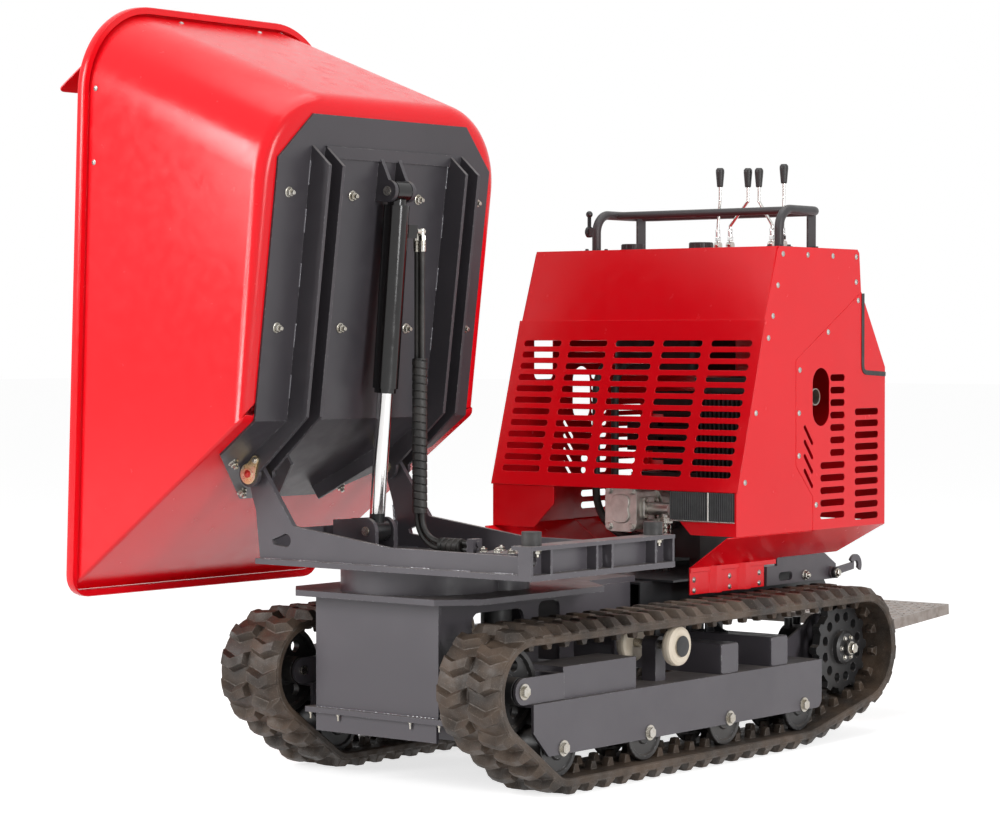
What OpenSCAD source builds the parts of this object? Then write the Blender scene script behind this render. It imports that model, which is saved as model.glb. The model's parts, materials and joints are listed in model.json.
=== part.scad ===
// Tracked mini dumper with a slewing, tipping skip.
// Millimetres, +Z up, +X to the machine's left, -Y forward. Drawn with the skip
// slewed to the right and tipped up. Pieces are placed from the slew axis, and
// placed() then moves them so that the origin is under the middle of the outline.

/* [Tracks] */
// Distance between the middles of the two tracks
track_gauge = 728; // [716:2:760]
// Width of a rubber track
track_w = 200; // [192:2:208]
// Thickness of the track's band
belt_t = 20; // [16:1:24]
// Height of the tread bars
lug_h = 25; // [20:1:30]
// Width of a tread bar along the track
lug_l = 26; // [20:1:30]
// Aimed spacing of the tread bars along the track
lug_pitch = 72; // [66:1:80]
// Height of the guide horns inside the track
horn_h = 22; // [16:1:24]
// Gap between a wheel and the track that it runs on
run_gap = 0.8; // [0.6:0.1:0.9]
// Height of the inside of the track's upper run
top_run_z = 383; // [378:1:390]

/* [Track wheels] */
// Running radius of the road wheels
road_r = 73; // [70:1:76]
// Spacing of the road wheels
road_pitch = 363; // [350:1:366]
// First road wheel, behind the slew axis
road_y = 25; // [15:1:35]
// Running radius of the front idler
idler_r = 113; // [108:1:116]
// Front idler, ahead of the slew axis
idler_y = -120; // [-130:1:-116]
// Running radius of the drive sprocket
sprocket_r = 135; // [130:1:138]
// Drive sprocket, behind the slew axis
sprocket_y = 1410; // [1400:1:1425]
// Number of sprocket teeth
sprocket_teeth = 12; // [10:1:16]
// Radius of the carrier roller's wheels
carrier_r = 52; // [48:1:54]
// Carrier roller, behind the slew axis
carrier_y = 510; // [480:1:560]
// Radius of the wheel axles
axle_r = 12; // [10:0.5:14]
// Radial clearance of wheels on their axles and pins in their bores
fit = 0.1; // [0.05:0.01:0.2]

/* [Track frame] */
// Width over the side plates of a track frame
frame_w = 152; // [146:1:156]
// Height of the track frame's top
frame_z = 236; // [232:1:240]
// Height of the track frame's lower edge
frame_z0 = 103; // [95:1:110]
// Plate thickness of the track frame
frame_t = 8; // [6:1:9]

/* [Chassis] */
// Width of the tower's front plate
tower_w = 407; // [390:1:420]
// Front face of the tower, ahead of the slew axis
tower_y = -172; // [-180:1:-160]
// Height of the tower's floor plate
tower_z = 190; // [180:1:200]
// Top face of the top plate
deck_z = 489; // [484:1:492]
// Thickness of the top plate
deck_t = 15; // [12:1:18]
// Thickness of the tower's plates
tower_t = 10; // [8:1:12]
// Height of the rear frame's rails
rail_h = 90; // [70:1:100]

/* [Slew] */
// Outer radius of the slew ring's guard
guard_r = 204; // [196:1:212]
// Underside of the tip frame's base plate
base_z = 556; // [552:1:562]
// Thickness of the tip frame's base plate
base_t = 14; // [10:1:16]

/* [Tip frame] */
// Tip pivot, to the skip's side of the slew axis
pivot_x = -320; // [-326:1:-314]
// Height of the tip pivot
pivot_z = 784; // [782:1:790]
// Radius of the tip pivot pins
pivot_r = 15; // [12:0.5:17]
// Middle of each tip frame rail, from the centre line
rail_y = 265; // [255:1:275]
// Thickness of the tip frame's rails
rail_t = 14; // [10:1:16]
// Middle of the rear cross beam
beam_x = 552; // [540:1:560]

/* [Skip] */
// Angle that the skip is tipped up from level
tip_deg = 82.8; // [75:0.1:86]
// Depth of the skip's floor below the tip pivot
floor_drop = 107; // [104:1:112]
// Front end of the skip's floor
floor_x0 = -165; // [-170:1:-160]
// Rear end of the skip's floor
floor_x1 = 647; // [640:1:655]
// Height of the front lip above the floor
lip_h = 554; // [530:1:560]
// Reach of the front lip ahead of the floor
lip_reach = 525; // [510:1:530]
// Height of the rear rim above the floor
rear_h = 683; // [670:1:690]
// Reach of the rear rim behind the floor
rear_reach = 166; // [155:1:170]
// Width of the skip over its sides
skip_w = 910; // [890:1:920]
// Sheet thickness of the skip
skip_t = 4; // [3:0.5:5]
// Length that each bevelled rear corner of the skip takes off the sides
corner_c = 150; // [130:1:170]
// Radius of the bend between the floor and the sides
bend_r = 40; // [30:1:50]
// Width of the rim's flange
rim_w = 18; // [14:1:22]
// Height of the rim's flange
rim_h = 26; // [20:1:32]

/* [Tip cylinder] */
// Outer radius of the barrel
barrel_r = 33; // [30:0.5:34]
// Radius of the rod
rod_r = 20; // [17:0.5:22]
// Length of the barrel from its pin to its gland
barrel_l = 505; // [480:1:520]
// Radius of the cylinder's pins
pin_r = 12; // [10:0.5:13]

/* [Hood] */
// Width of the hood
hood_w = 840; // [820:2:850]
// Sheet thickness of the hood
hood_t = 3; // [2:0.5:4]
// Height of the hood's top
hood_z = 1380; // [1370:1:1395]
// Lower edge of the hood
hood_z0 = 595; // [585:1:600]
// Louvre slots across
louvre_columns = 5; // [3:1:5]
// Louvre slots up the panel
louvre_rows = 12; // [8:1:12]
// Length of a louvre slot
louvre_l = 135; // [100:1:140]
// Height of a louvre slot
louvre_h = 18; // [12:1:20]

/* [Controls] */
// Radius of the handlebar's tube
bar_r = 13; // [11:0.5:15]
// Height of the handlebar's middle above the hood
bar_h = 110; // [100:1:125]
// Radius of the control levers' rods
lever_r = 4.5; // [4:0.1:5]
// Height of the control levers' knobs
knob_h = 55; // [45:1:60]

/* [Platform] */
// Width of the operator's platform
platform_w = 760; // [700:2:780]
// Length of the operator's platform
platform_l = 345; // [300:1:345]
// Thickness of the platform's sheet
platform_t = 5; // [4:1:6]

/* [Hidden] */
$fn = 64;
// Middle of the outline, from the slew axis
middle_x = -162;
middle_y = 769;
side_x = track_gauge / 2;
belt_in_z = lug_h + belt_t;
road_z = belt_in_z + road_r;
idler_z = top_run_z - idler_r;
sprocket_z = top_run_z - sprocket_r;
carrier_z = top_run_z - carrier_r - run_gap;
road_ys = [for (i = [0:3]) road_y + i * road_pitch];
// Lateral bands of a track's inside, from its middle
tooth_hw = 18;
horn_x0 = 26;
horn_x1 = 46;
rim_x0 = 50;

steel_grey = [0.33, 0.33, 0.36];
red = [0.85, 0.03, 0.06];
black = [0.06, 0.06, 0.06];
rubber = [0.2, 0.17, 0.15];
zinc = [0.75, 0.75, 0.72];

// Moves a piece from the slew axis to the model's origin
module placed() translate([-middle_x, -middle_y, 0]) children();
// A piece of the left side, or its mirror image on the right
module side(s) if (s > 0) children(); else mirror([1, 0, 0]) children();
// Extrudes a (y, z) outline from x to x + t
module yz_plate(x, t) translate([x, 0, 0]) rotate([90, 0, 90]) linear_extrude(t) children();
// Extrudes an (x, z) outline from y to y + t
module xz_plate(y, t) translate([0, y + t, 0]) rotate([90, 0, 0]) linear_extrude(t) children();
// Box section from a corner, with its walls, open at both ends along x or y
module x_tube(at, size, wall) translate(at) difference() {
    cube(size);
    translate([-1, wall, wall]) cube([size[0] + 2, size[1] - 2 * wall, size[2] - 2 * wall]);
}
module y_tube(at, size, wall) translate(at) difference() {
    cube(size);
    translate([wall, -1, wall]) cube([size[0] - 2 * wall, size[1] + 2, size[2] - 2 * wall]);
}
// Round bar along x
module x_bar(x0, x1, r, y, z) translate([x0, y, z]) rotate([0, 90, 0]) cylinder(h = x1 - x0, r = r);
// Round bar along y
module y_bar(y0, y1, r, x, z) translate([x, y0, z]) rotate([-90, 0, 0]) cylinder(h = y1 - y0, r = r);
// Rectangle with round corners, from its lower left corner
module rrect(w, h, r) {
    translate([r, 0]) square([w - 2 * r, h]);
    translate([0, r]) square([w, h - 2 * r]);
    for (x = [r, w - r], y = [r, h - r]) translate([x, y]) circle(r);
}
// Slot with round ends, from its middle
module slot2d(l, h) {
    square([l - h, h], center = true);
    for (s = [-1, 1]) translate([s * (l - h) / 2, 0]) circle(h / 2);
}

// Track path: circles that the inside of the band wraps, in order round the loop
wraps = [[road_ys[0], road_z, road_r], [road_ys[3], road_z, road_r],
    [sprocket_y, sprocket_z, sprocket_r], [idler_y, idler_z, idler_r]];
function gap_yz(a, b) = [b[0] - a[0], b[1] - a[1]];
function heading(a, b) = atan2(b[1] - a[1], b[0] - a[0]) + asin((a[2] - b[2]) / norm(gap_yz(a, b)));
function run_l(a, b) = sqrt(pow(norm(gap_yz(a, b)), 2) - pow(a[2] - b[2], 2));
// Heading of each straight run, rising round the loop
headings = [for (i = [0:3]) let (h = heading(wraps[i], wraps[(i + 1) % 4])) h < -1 ? h + 360 : h];
function turn(i) = (headings[i] - headings[(i + 3) % 4] + 360) % 360;
function arc_l(i) = (wraps[i][2] + belt_t / 2) * turn(i) * PI / 180;
runs = [for (i = [0:3]) run_l(wraps[i], wraps[(i + 1) % 4])];
loop_l = runs[0] + runs[1] + runs[2] + runs[3] + arc_l(0) + arc_l(1) + arc_l(2) + arc_l(3);
bar_count = round(loop_l / lug_pitch);
bar_step = loop_l / bar_count;
// First tread bar, as a share of the spacing
bar_start = 0.3;
function out(h) = [sin(h), -cos(h)];
function on_wrap(i, h) = [wraps[i][0], wraps[i][1]] + wraps[i][2] * out(h);
// Place [y, z, heading] on the inside of the band, at length s from the start of the run after wrap i
function along(s, i = 0) = s <= runs[i]
    ? concat(on_wrap(i, headings[i]) + s * [cos(headings[i]), sin(headings[i])], headings[i])
    : s <= runs[i] + arc_l((i + 1) % 4)
    ? let (j = (i + 1) % 4, h = headings[i] + (s - runs[i]) / arc_l(j) * turn(j)) concat(on_wrap(j, h), h)
    : along(s - runs[i] - arc_l((i + 1) % 4), i + 1);
// Puts a piece drawn with x along the track, y across it and z outward at a place on the band's inside
module on_track(p) translate([0, p[0], p[1]]) rotate([p[2], 0, 0]) rotate([180, 0, 90]) children();

// True where a place lies on a bend of the band
function on_bend(p) = min([for (h = headings) abs((p[2] - h) % 360)]) > 0.01;
// One tread bar, a chevron over half the width, a little lower on a bend so that its corners
// stay within the tread's outer line
module tread_bar(bent) {
    tall = bent ? lug_h - 4 : lug_h;
    inner_v = 5;
    outer_v = track_w / 2 - 3;
    lead = 16;
    l = lug_l / 2;
    sunk = 4;
    translate([0, 0, belt_t - sunk]) linear_extrude(tall + sunk)
        polygon([[-l, inner_v], [lead - l, (inner_v + outer_v) / 2], [-l, outer_v],
            [l, outer_v], [lead + l, (inner_v + outer_v) / 2], [l, inner_v]]);
}
// One guide horn on the inside of the band
module horn() {
    foot = 14;
    tip = 8;
    sunk = 4;
    translate([0, horn_x1, 0]) rotate([90, 0, 0]) linear_extrude(horn_x1 - horn_x0)
        polygon([[-foot, sunk], [foot, sunk], [foot, 0], [tip, -horn_h], [-tip, -horn_h], [-foot, 0]]);
}
// Face inside a line that follows the band's inside, d further out. Its bends stand a hair proud of
// the straight runs, so that they cross them cleanly
module loop_face(d) {
    proud = 0.05;
    polygon([for (i = [0:3], h = [headings[(i + 3) % 4], headings[i]]) on_wrap(i, h) + d * out(h)]);
    for (w = wraps) translate([w[0], w[1]]) circle(w[2] + d + proud);
}
module track(s) color(rubber) placed() side(s) translate([side_x, 0, 0]) {
    yz_plate(-track_w / 2, track_w) difference() {
        loop_face(belt_t);
        loop_face(0);
    }
    for (n = [0:bar_count - 1]) {
        left = along((n + bar_start) * bar_step);
        right = along((n + bar_start + 0.5) * bar_step);
        on_track(left) {
            tread_bar(on_bend(left));
            horn();
        }
        on_track(right) mirror([0, 1, 0]) {
            tread_bar(on_bend(right));
            horn();
        }
    }
}

// Spins a profile of [radius, distance from the track's middle] round a cross axle
module spun(y, z) translate([side_x, y, z]) rotate([0, 90, 0]) rotate_extrude() children();
// Both halves of a profile that is the same on the left and right of the track's middle
function both(half) = concat(half, [for (i = [len(half) - 1:-1:0]) [half[i][0], -half[i][1]]]);

bore_r = axle_r + fit;
wheel_hw = frame_w / 2 - frame_t - 6;
module road_wheel(s, i) color(black) placed() side(s) spun(road_ys[i], road_z) {
    r = road_r - run_gap;
    hub_r = road_r - horn_h - 6;
    polygon(both([[bore_r, wheel_hw], [bore_r + 16, wheel_hw], [bore_r + 20, wheel_hw - 5],
        [r - 15, wheel_hw - 5], [r - 11, wheel_hw], [r - 2, wheel_hw], [r, wheel_hw - 2],
        [r, rim_x0], [hub_r + 5, rim_x0], [hub_r, rim_x0 - 5]]));
}
module idler(s) color(black) placed() side(s) difference() {
    r = idler_r - run_gap;
    hub_r = bore_r + 22;
    hub_hw = 54;
    web_hw = 9;
    spun(idler_y, idler_z) polygon(both([[bore_r, hub_hw], [hub_r, hub_hw], [hub_r, web_hw + 8],
        [hub_r + 8, web_hw], [r - 18, web_hw], [r - 14, tooth_hw], [r - 2, tooth_hw], [r, tooth_hw - 2]]));
    for (a = [0:60:300]) x_bar(side_x - tooth_hw, side_x + tooth_hw, 15,
        idler_y + 65 * cos(a), idler_z + 65 * sin(a));
}

shaft_r = 20;
// Sprocket disc with its teeth, as seen along the axle
module sprocket_face() {
    tip_r = sprocket_r - run_gap;
    root_r = tip_r - 17;
    circle(root_r);
    for (n = [0:sprocket_teeth - 1]) rotate(n * 360 / sprocket_teeth)
        polygon([[root_r - 4, -17], [tip_r - 3, -9], [tip_r - 1, 0], [tip_r - 3, 9], [root_r - 4, 17]]);
}
module sprocket(s) color(black) placed() side(s) {
    disc_hw = 12;
    translate([0, sprocket_y, sprocket_z]) yz_plate(side_x - disc_hw, 2 * disc_hw) difference() {
        sprocket_face();
        for (a = [15:30:345]) rotate(a) translate([88, 0]) circle(14);
    }
    spun(sprocket_y, sprocket_z) polygon([[0, -track_w / 2 - 18], [shaft_r, -track_w / 2 - 18],
        [shaft_r, -50], [48, -44], [48, 26], [40, 32], [22, 32], [22, 44], [0, 44]]);
}
module carrier(s) color([0.9, 0.87, 0.78]) placed() side(s) for (e = [-1, 1])
    spun(carrier_y, carrier_z) polygon([[bore_r, e * 58], [carrier_r - 10, e * 58], [carrier_r - 2, e * 62],
        [carrier_r, e * 68], [carrier_r, e * 78], [carrier_r - 2, e * 84], [carrier_r - 10, e * 88],
        [bore_r, e * 88]]);

// Hexagon-headed axle with a washer under its head
module axle(y, z, x0, x1) {
    x_bar(x0, x1, axle_r, y, z);
    x_bar(x1, x1 + 3, axle_r + 8, y, z);
    translate([x1 + 3, y, z]) rotate([0, 90, 0]) cylinder(h = 8, r = axle_r + 2, $fn = 6);
}
module wheel_axles() color(zinc) placed() for (s = [-1, 1]) side(s) {
    for (y = road_ys) axle(y, road_z, side_x - frame_w / 2 - 8, side_x + frame_w / 2);
    axle(idler_y, idler_z, side_x - yoke_hw - 6, side_x + yoke_hw);
    x_bar(side_x - 88.3, side_x + 88.3, axle_r, carrier_y, carrier_z);
    for (x = [-92, 88.3]) x_bar(side_x + x, side_x + x + 3.7, 26, carrier_y, carrier_z);
}

// Idler yoke: fork plates, cross block and the shank that slides in the tensioner
yoke_hw = frame_w / 2 - 9;
yoke_h = 2 * (idler_z - frame_z) - 2;
box_y0 = 45;
box_y1 = 350;
shank_r = 26;
module idler_yokes() color(steel_grey) placed() for (s = [-1, 1]) side(s) {
    for (x = [side_x - yoke_hw, side_x + yoke_hw - frame_t]) yz_plate(x, frame_t) difference() {
        union() {
            translate([idler_y, idler_z]) circle(yoke_h / 2);
            translate([idler_y, idler_z - yoke_h / 2]) square([box_y0 - 5 - idler_y, yoke_h]);
        }
        translate([idler_y, idler_z]) circle(bore_r);
    }
    translate([side_x - yoke_hw, box_y0 - 25, idler_z - yoke_h / 2]) cube([2 * yoke_hw, 20, yoke_h]);
    y_bar(box_y0 - 6, box_y1 - 20, shank_r, side_x, idler_z);
    y_bar(box_y1 - 21, box_y1 + 60, 11, side_x, idler_z);
}

// Side plate outline of a track frame
frame_y0 = -93;
frame_y1 = 1205;
module frame_side() {
    corner = 25;
    polygon([[frame_y0, frame_z], [frame_y0, frame_z0 + 62], [frame_y0 + 60, frame_z0],
        [frame_y1 - corner, frame_z0], [frame_y1 - corner, frame_z0 + corner], [frame_y1, frame_z0 + corner],
        [frame_y1, frame_z]]);
    translate([frame_y1 - corner, frame_z0 + corner]) circle(corner);
}
module frame_holes() for (y = road_ys) translate([y, road_z]) circle(bore_r);
module track_frames() color(steel_grey) placed() for (s = [-1, 1]) side(s) {
    x0 = side_x - frame_w / 2;
    yz_plate(x0 + frame_w - frame_t, frame_t) difference() {
        frame_side();
        frame_holes();
    }
    // Inner plate, with the arm that carries the drive motor
    arm_r = 92;
    yz_plate(x0, frame_t) difference() {
        union() {
            frame_side();
            translate([sprocket_y, sprocket_z]) circle(arm_r);
            polygon([[frame_y1 - 60, frame_z0 + 25], [sprocket_y, sprocket_z - arm_r],
                [sprocket_y, sprocket_z + arm_r], [frame_y1 - 60, frame_z]]);
        }
        frame_holes();
        translate([sprocket_y, sprocket_z]) circle(shaft_r + 5);
    }
    // Top plate, open at the front round the idler
    slot_hw = tooth_hw + 8;
    slot_y = idler_y + idler_r + 8;
    translate([0, 0, frame_z - frame_t]) linear_extrude(frame_t) difference() {
        translate([x0, frame_y0]) square([frame_w, frame_y1 - frame_y0]);
        translate([side_x - slot_hw, frame_y0 - 1]) square([2 * slot_hw, slot_y - frame_y0 + 1]);
    }
    // Tensioner box with its bore
    box_hw = 60;
    translate([side_x, 0, 0]) xz_plate(box_y0, box_y1 - box_y0) difference() {
        translate([-box_hw, frame_z]) square([2 * box_hw, yoke_h + 14]);
        translate([0, idler_z]) circle(shank_r + 0.3);
    }
    // Post of the carrier roller
    yz_plate(side_x - 22, 44) difference() {
        union() {
            translate([carrier_y, carrier_z]) circle(axle_r + 10);
            translate([carrier_y - axle_r - 10, frame_z]) square([2 * axle_r + 20, carrier_z - frame_z]);
        }
        translate([carrier_y, carrier_z]) circle(bore_r);
    }
}
module drive_motors() color(black) placed() for (s = [-1, 1]) side(s) {
    x1 = side_x - frame_w / 2;
    difference() {
        union() {
            x_bar(x1 - 12, x1, 74, sprocket_y, sprocket_z);
            x_bar(x1 - 96, x1 - 12, 56, sprocket_y, sprocket_z);
            for (y = [-22, 22]) translate([x1 - 78, sprocket_y + y, sprocket_z + 40])
                cylinder(h = 36, r = 12);
        }
        x_bar(side_x - track_w / 2 - 19, x1 + 1, shaft_r + 0.3, sprocket_y, sprocket_z);
    }
}

deck_z0 = deck_z - deck_t;
plate_x = tower_w / 2 - 18;
slew_hole_r = 78;
motor_xy = [128, 148];
tower_y1 = 650;
module chassis() color(steel_grey) placed() {
    // Top plate
    translate([0, 0, deck_z0]) linear_extrude(deck_t) difference() {
        polygon([[230, -220], [310, -133], [310, 367], [180, 470], [180, tower_y1 + 30],
            [-180, tower_y1 + 30], [-180, 470], [-310, 367], [-310, -133], [-230, -220]]);
        circle(slew_hole_r);
        translate(motor_xy) circle(30);
    }
    // Tower: front plate, pierced side plates, rear plate and floor
    translate([-tower_w / 2, tower_y, tower_z]) cube([tower_w, tower_t, deck_z0 - tower_z]);
    for (x = [-plate_x, plate_x - tower_t]) yz_plate(x, tower_t) difference() {
        translate([tower_y + tower_t - 1, tower_z - 1])
            square([tower_y1 - tower_y - tower_t, deck_z0 - tower_z + 2]);
        translate([-20, 330]) rrect(210, 108, 26);
        translate([250, 250]) rrect(90, 200, 20);
        translate([400, 250]) rrect(180, 150, 26);
    }
    translate([-plate_x, tower_y1 - tower_t, tower_z + 110])
        cube([2 * plate_x, tower_t, deck_z0 - tower_z - 109]);
    floor_t = 14;
    translate([-229, tower_y - 14, tower_z - floor_t]) cube([458, 590, floor_t]);
    translate([-200, tower_y - 4, tower_z - floor_t - 46]) cube([400, 10, 47]);
    // Arms to the track frames
    arm_l = side_x - frame_w / 2;
    for (y = [-60, 150, 300]) x_tube([-arm_l, y, tower_z - floor_t - 55], [2 * arm_l, 70, 56], section_t);
}

rail_x0 = 150;
rail_x1 = 220;
section_t = 6;
rail_y1 = 1480;
rail_z0 = deck_z0 - rail_h;
bed_t = 6;
bracket_x = 292;
bracket_t = 8;
// Lowest that the hood's skirts and the brackets reach over the tracks
over_track_z = top_run_z + belt_t + lug_h + 8;
hinge_y = 1665;
hinge_z = 300;
hinge_r = 8;
arm_x = 196;
arm_t = 12;
latch_y = 1476;
latch_z = 454;
module rear_frame() color(black) placed() {
    rail_l = rail_y1 - tower_y1;
    rail_w = rail_x1 - rail_x0;
    for (x = [-rail_x1, rail_x0]) y_tube([x, tower_y1, rail_z0], [rail_w, rail_l, rail_h], section_t);
    for (y = [tower_y1 + 30, rail_y1 - 40])
        x_tube([-rail_x0 - 1, y, rail_z0], [2 * rail_x0 + 2, 40, rail_h], section_t);
    // Engine bed
    bed_y = tower_y1 + 50;
    translate([-bracket_x, bed_y, deck_z0]) cube([2 * bracket_x, rail_y1 - bed_y, bed_t]);
    // Cross beams on the track frames, with legs and curved gussets up to the rails
    beam_w = 80;
    beam_top = frame_z + 80;
    gusset = 43;
    for (y = [720, 960]) {
        x_tube([-side_x - 66, y, frame_z], [2 * side_x + 132, beam_w, beam_top - frame_z], section_t);
        for (s = [-1, 1]) side(s) {
            for (x = [rail_x0, rail_x1 - section_t]) translate([x, y, beam_top - 1])
                cube([section_t, beam_w, rail_z0 - beam_top + 2]);
            xz_plate(y + beam_w / 2 - 5, 10) difference() {
                translate([rail_x1 - 1, beam_top - 1]) square([gusset, gusset]);
                translate([rail_x1 + gusset, beam_top + gusset]) circle(gusset - 4);
            }
        }
    }
    // Side brackets at the rear, each with a slot, and the latch's pin on the left one
    for (s = [-1, 1]) side(s) {
        yz_plate(bracket_x - 1, bracket_t + 1) difference() {
            polygon([[1140, over_track_z], [1500, over_track_z], [1500, 478], [1440, 512], [1192, 512],
                [1192, 490], [1140, 490]]);
            translate([1235, 458]) slot2d(70, 24);
        }
        // Arm that carries the platform's hinge
        yz_plate(arm_x, arm_t) difference() {
            union() {
                polygon([[rail_y1 - 1, deck_z0], [rail_y1 - 1, rail_z0], [hinge_y - 30, hinge_z - 18],
                    [hinge_y, hinge_z - 18], [hinge_y, hinge_z + 18], [rail_y1 + 60, deck_z0]]);
                translate([hinge_y, hinge_z]) circle(18);
            }
            translate([hinge_y, hinge_z]) circle(hinge_r + fit);
        }
    }
    x_bar(bracket_x + bracket_t - 1, bracket_x + bracket_t + 12, hinge_r, latch_y, latch_z);
    // Union of the return hose, on the bed
    translate([return_x + return_bend + union_l, pump_y - line_r - 2, bed_z - 1])
        cube([24, 2 * line_r + 4, return_z + line_r + 3 - bed_z]);
}
module platform() color([0.6, 0.58, 0.56]) placed() {
    tilt = 4;
    y0 = 26;
    flange = 26;
    translate([0, hinge_y, hinge_z]) rotate([tilt, 0, 0]) {
        translate([-platform_w / 2, y0, 0]) cube([platform_w, platform_l - y0, platform_t]);
        for (x = [-platform_w / 2, platform_w / 2 - platform_t])
            translate([x, y0, -flange]) cube([platform_t, platform_l - y0, flange + 1]);
        for (y = [y0, platform_l - platform_t])
            translate([-platform_w / 2, y, -flange]) cube([platform_w, platform_t, flange + 1]);
        // Hinge lugs and their pins
        for (s = [-1, 1]) side(s) {
            yz_plate(arm_x - arm_t - 0.5, arm_t) {
                circle(16);
                translate([0, -16]) square([y0 + 2, 20]);
            }
            x_bar(arm_x - 1, arm_x + arm_t + 4, hinge_r, 0, 0);
        }
    }
}
module platform_latch() color(steel_grey) placed() yz_plate(bracket_x + bracket_t + 0.3, 8) difference() {
    union() {
        translate([latch_y, latch_z]) circle(17);
        polygon([[latch_y, latch_z - 10], [latch_y + 110, latch_z + 4], [latch_y + 110, latch_z + 24],
            [latch_y, latch_z + 12]]);
        translate([latch_y + 120, latch_z + 14]) difference() {
            circle(32);
            circle(14);
            rotate(-120) translate([0, -40]) square([80, 80]);
        }
    }
    translate([latch_y, latch_z]) circle(hinge_r + fit);
}

ring_r0 = slew_hole_r;
ring_r1 = 120;
ring_r2 = 158;
guard_wall = 4;
module slew_guard() color(steel_grey) placed() translate([0, 0, deck_z]) difference() {
    linear_extrude(base_z - deck_z - 3) {
        circle(guard_r);
        translate(motor_xy) circle(86);
    }
    translate([0, 0, -1]) linear_extrude(base_z - deck_z + 2) {
        circle(guard_r - guard_wall);
        translate(motor_xy) circle(86 - guard_wall);
    }
}
module slew_ring_base() color(zinc) placed() translate([0, 0, deck_z]) difference() {
    cylinder(h = base_z - deck_z - 12, r = ring_r1);
    translate([0, 0, -1]) cylinder(h = base_z, r = ring_r0);
}
module slew_ring() color(zinc) placed() translate([0, 0, deck_z + 8]) difference() {
    cylinder(h = base_z - deck_z - 8, r = ring_r2);
    translate([0, 0, -1]) cylinder(h = base_z, r = ring_r1 + 0.5);
}
module slew_motor() color(black) placed() translate([motor_xy[0], motor_xy[1], 0]) {
    translate([0, 0, deck_z0 - 14]) cylinder(h = 14, r = 46);
    translate([0, 0, deck_z0 - 150]) cylinder(h = 137, r = 40);
    translate([0, 0, deck_z0 - 1]) cylinder(h = deck_t + 40, r = 16);
}

base_top = base_z + base_t;
floor_z = pivot_z - floor_drop;
sheet_t = 6;
sheet_z = floor_z - sheet_t;
beam_z = sheet_z - 33;
cyl_ax = 424;
cyl_az = floor_z - 45;
cyl_bx = -150;
cyl_bz = cyl_az;
ear_r = 28;
eye_hw = 25;
hose_x = -75;
hose_y = 85;
hose_gap = 8.2;
hose_r = 7.5;
hose_z = base_top + 26;
hose_bend = 70;
union_x = 86;
module tip_frame() color(steel_grey) placed() {
    // Base plate
    x0 = -304;
    x1 = beam_x + 36;
    plate_y = rail_y + 25;
    translate([0, 0, base_z]) linear_extrude(base_t) difference() {
        polygon([[x0, -plate_y], [x1, -plate_y], [x1, plate_y], [x0, plate_y]]);
        circle(60);
    }
    // Rails with the pivot ears
    for (s = [-1, 1]) xz_plate(s * rail_y - rail_t / 2, rail_t) difference() {
        union() {
            translate([pivot_x, pivot_z]) circle(ear_r);
            polygon([[x0, base_top - 1], [-318, 690], [pivot_x - ear_r + 1, pivot_z - 8],
                [pivot_x + ear_r * 0.75, pivot_z + ear_r * 0.66], [-190, sheet_z - 16], [127, base_top + 45],
                [beam_x, base_top + 42], [beam_x, base_top - 1]]);
        }
        translate([pivot_x, pivot_z]) circle(pivot_r + fit);
        translate([-215, 618]) circle(17);
        polygon([[-215, 635], [-262, 618], [-258, 606], [-215, 601]]);
    }
    // Front cross plate
    translate([x0 - 6, -rail_y, base_top - 1]) cube([10, 2 * rail_y, 70]);
    // Rear cross beam: web with round holes, top flange and paired gussets
    translate([beam_x - 5, -plate_y, 0]) rotate([90, 0, 90]) linear_extrude(10) difference() {
        translate([0, base_top - 1]) square([2 * plate_y, beam_z - base_top]);
        for (y = [-245, 0, 245]) translate([plate_y + y, (base_top + beam_z) / 2 - 4]) circle(13);
    }
    translate([beam_x - 25, -plate_y, beam_z - 10]) cube([61, 2 * plate_y, 10]);
    for (y = [-plate_y, -215, -35, 27, 207, plate_y - 8])
        translate([beam_x, y, base_top - 1]) cube([34, 8, beam_z - base_top - 8]);
    // Bracket of the cylinder's lower pin
    for (y = [-eye_hw - 17, eye_hw + 5]) xz_plate(y, 12) difference() {
        union() {
            translate([cyl_bx, cyl_bz]) circle(34);
            polygon([[-262, base_top - 1], [cyl_bx + 34, base_top - 1], [cyl_bx + 34, cyl_bz],
                [cyl_bx, cyl_bz + 34], [-262, cyl_bz + 26]]);
        }
        translate([cyl_bx, cyl_bz]) circle(pin_r + fit);
    }
    // Unions that the hoses end in
    for (d = [-hose_gap, hose_gap]) x_bar(union_x, union_x + 38, hose_r + 0.5, hose_y, hose_z + d);
    translate([union_x + 12, hose_y - 18, base_top - 1]) cube([20, 36, 48]);
    // Raised pad over the slew drive
    pad_t = 16;
    translate([union_x + 46, hose_y - 30, base_top - 1]) linear_extrude(pad_t + 1) rrect(124, 104, 12);
}
module buffers() color(black) placed() for (y = [-245, 245])
    translate([beam_x, y, beam_z]) cylinder(h = sheet_z - beam_z - 0.3, r = 24);
module rod_pin() color([0.7, 0.6, 0.3]) placed() for (y = [-eye_hw - 19, eye_hw + 5])
    y_bar(y, y + 14, pin_r, cyl_bx, cyl_bz);

// Raises a piece drawn with the skip level to the tipped pose
module tipped() placed() translate([pivot_x, 0, pivot_z]) rotate([0, -tip_deg, 0])
    translate([-pivot_x, 0, -pivot_z]) children();
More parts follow.
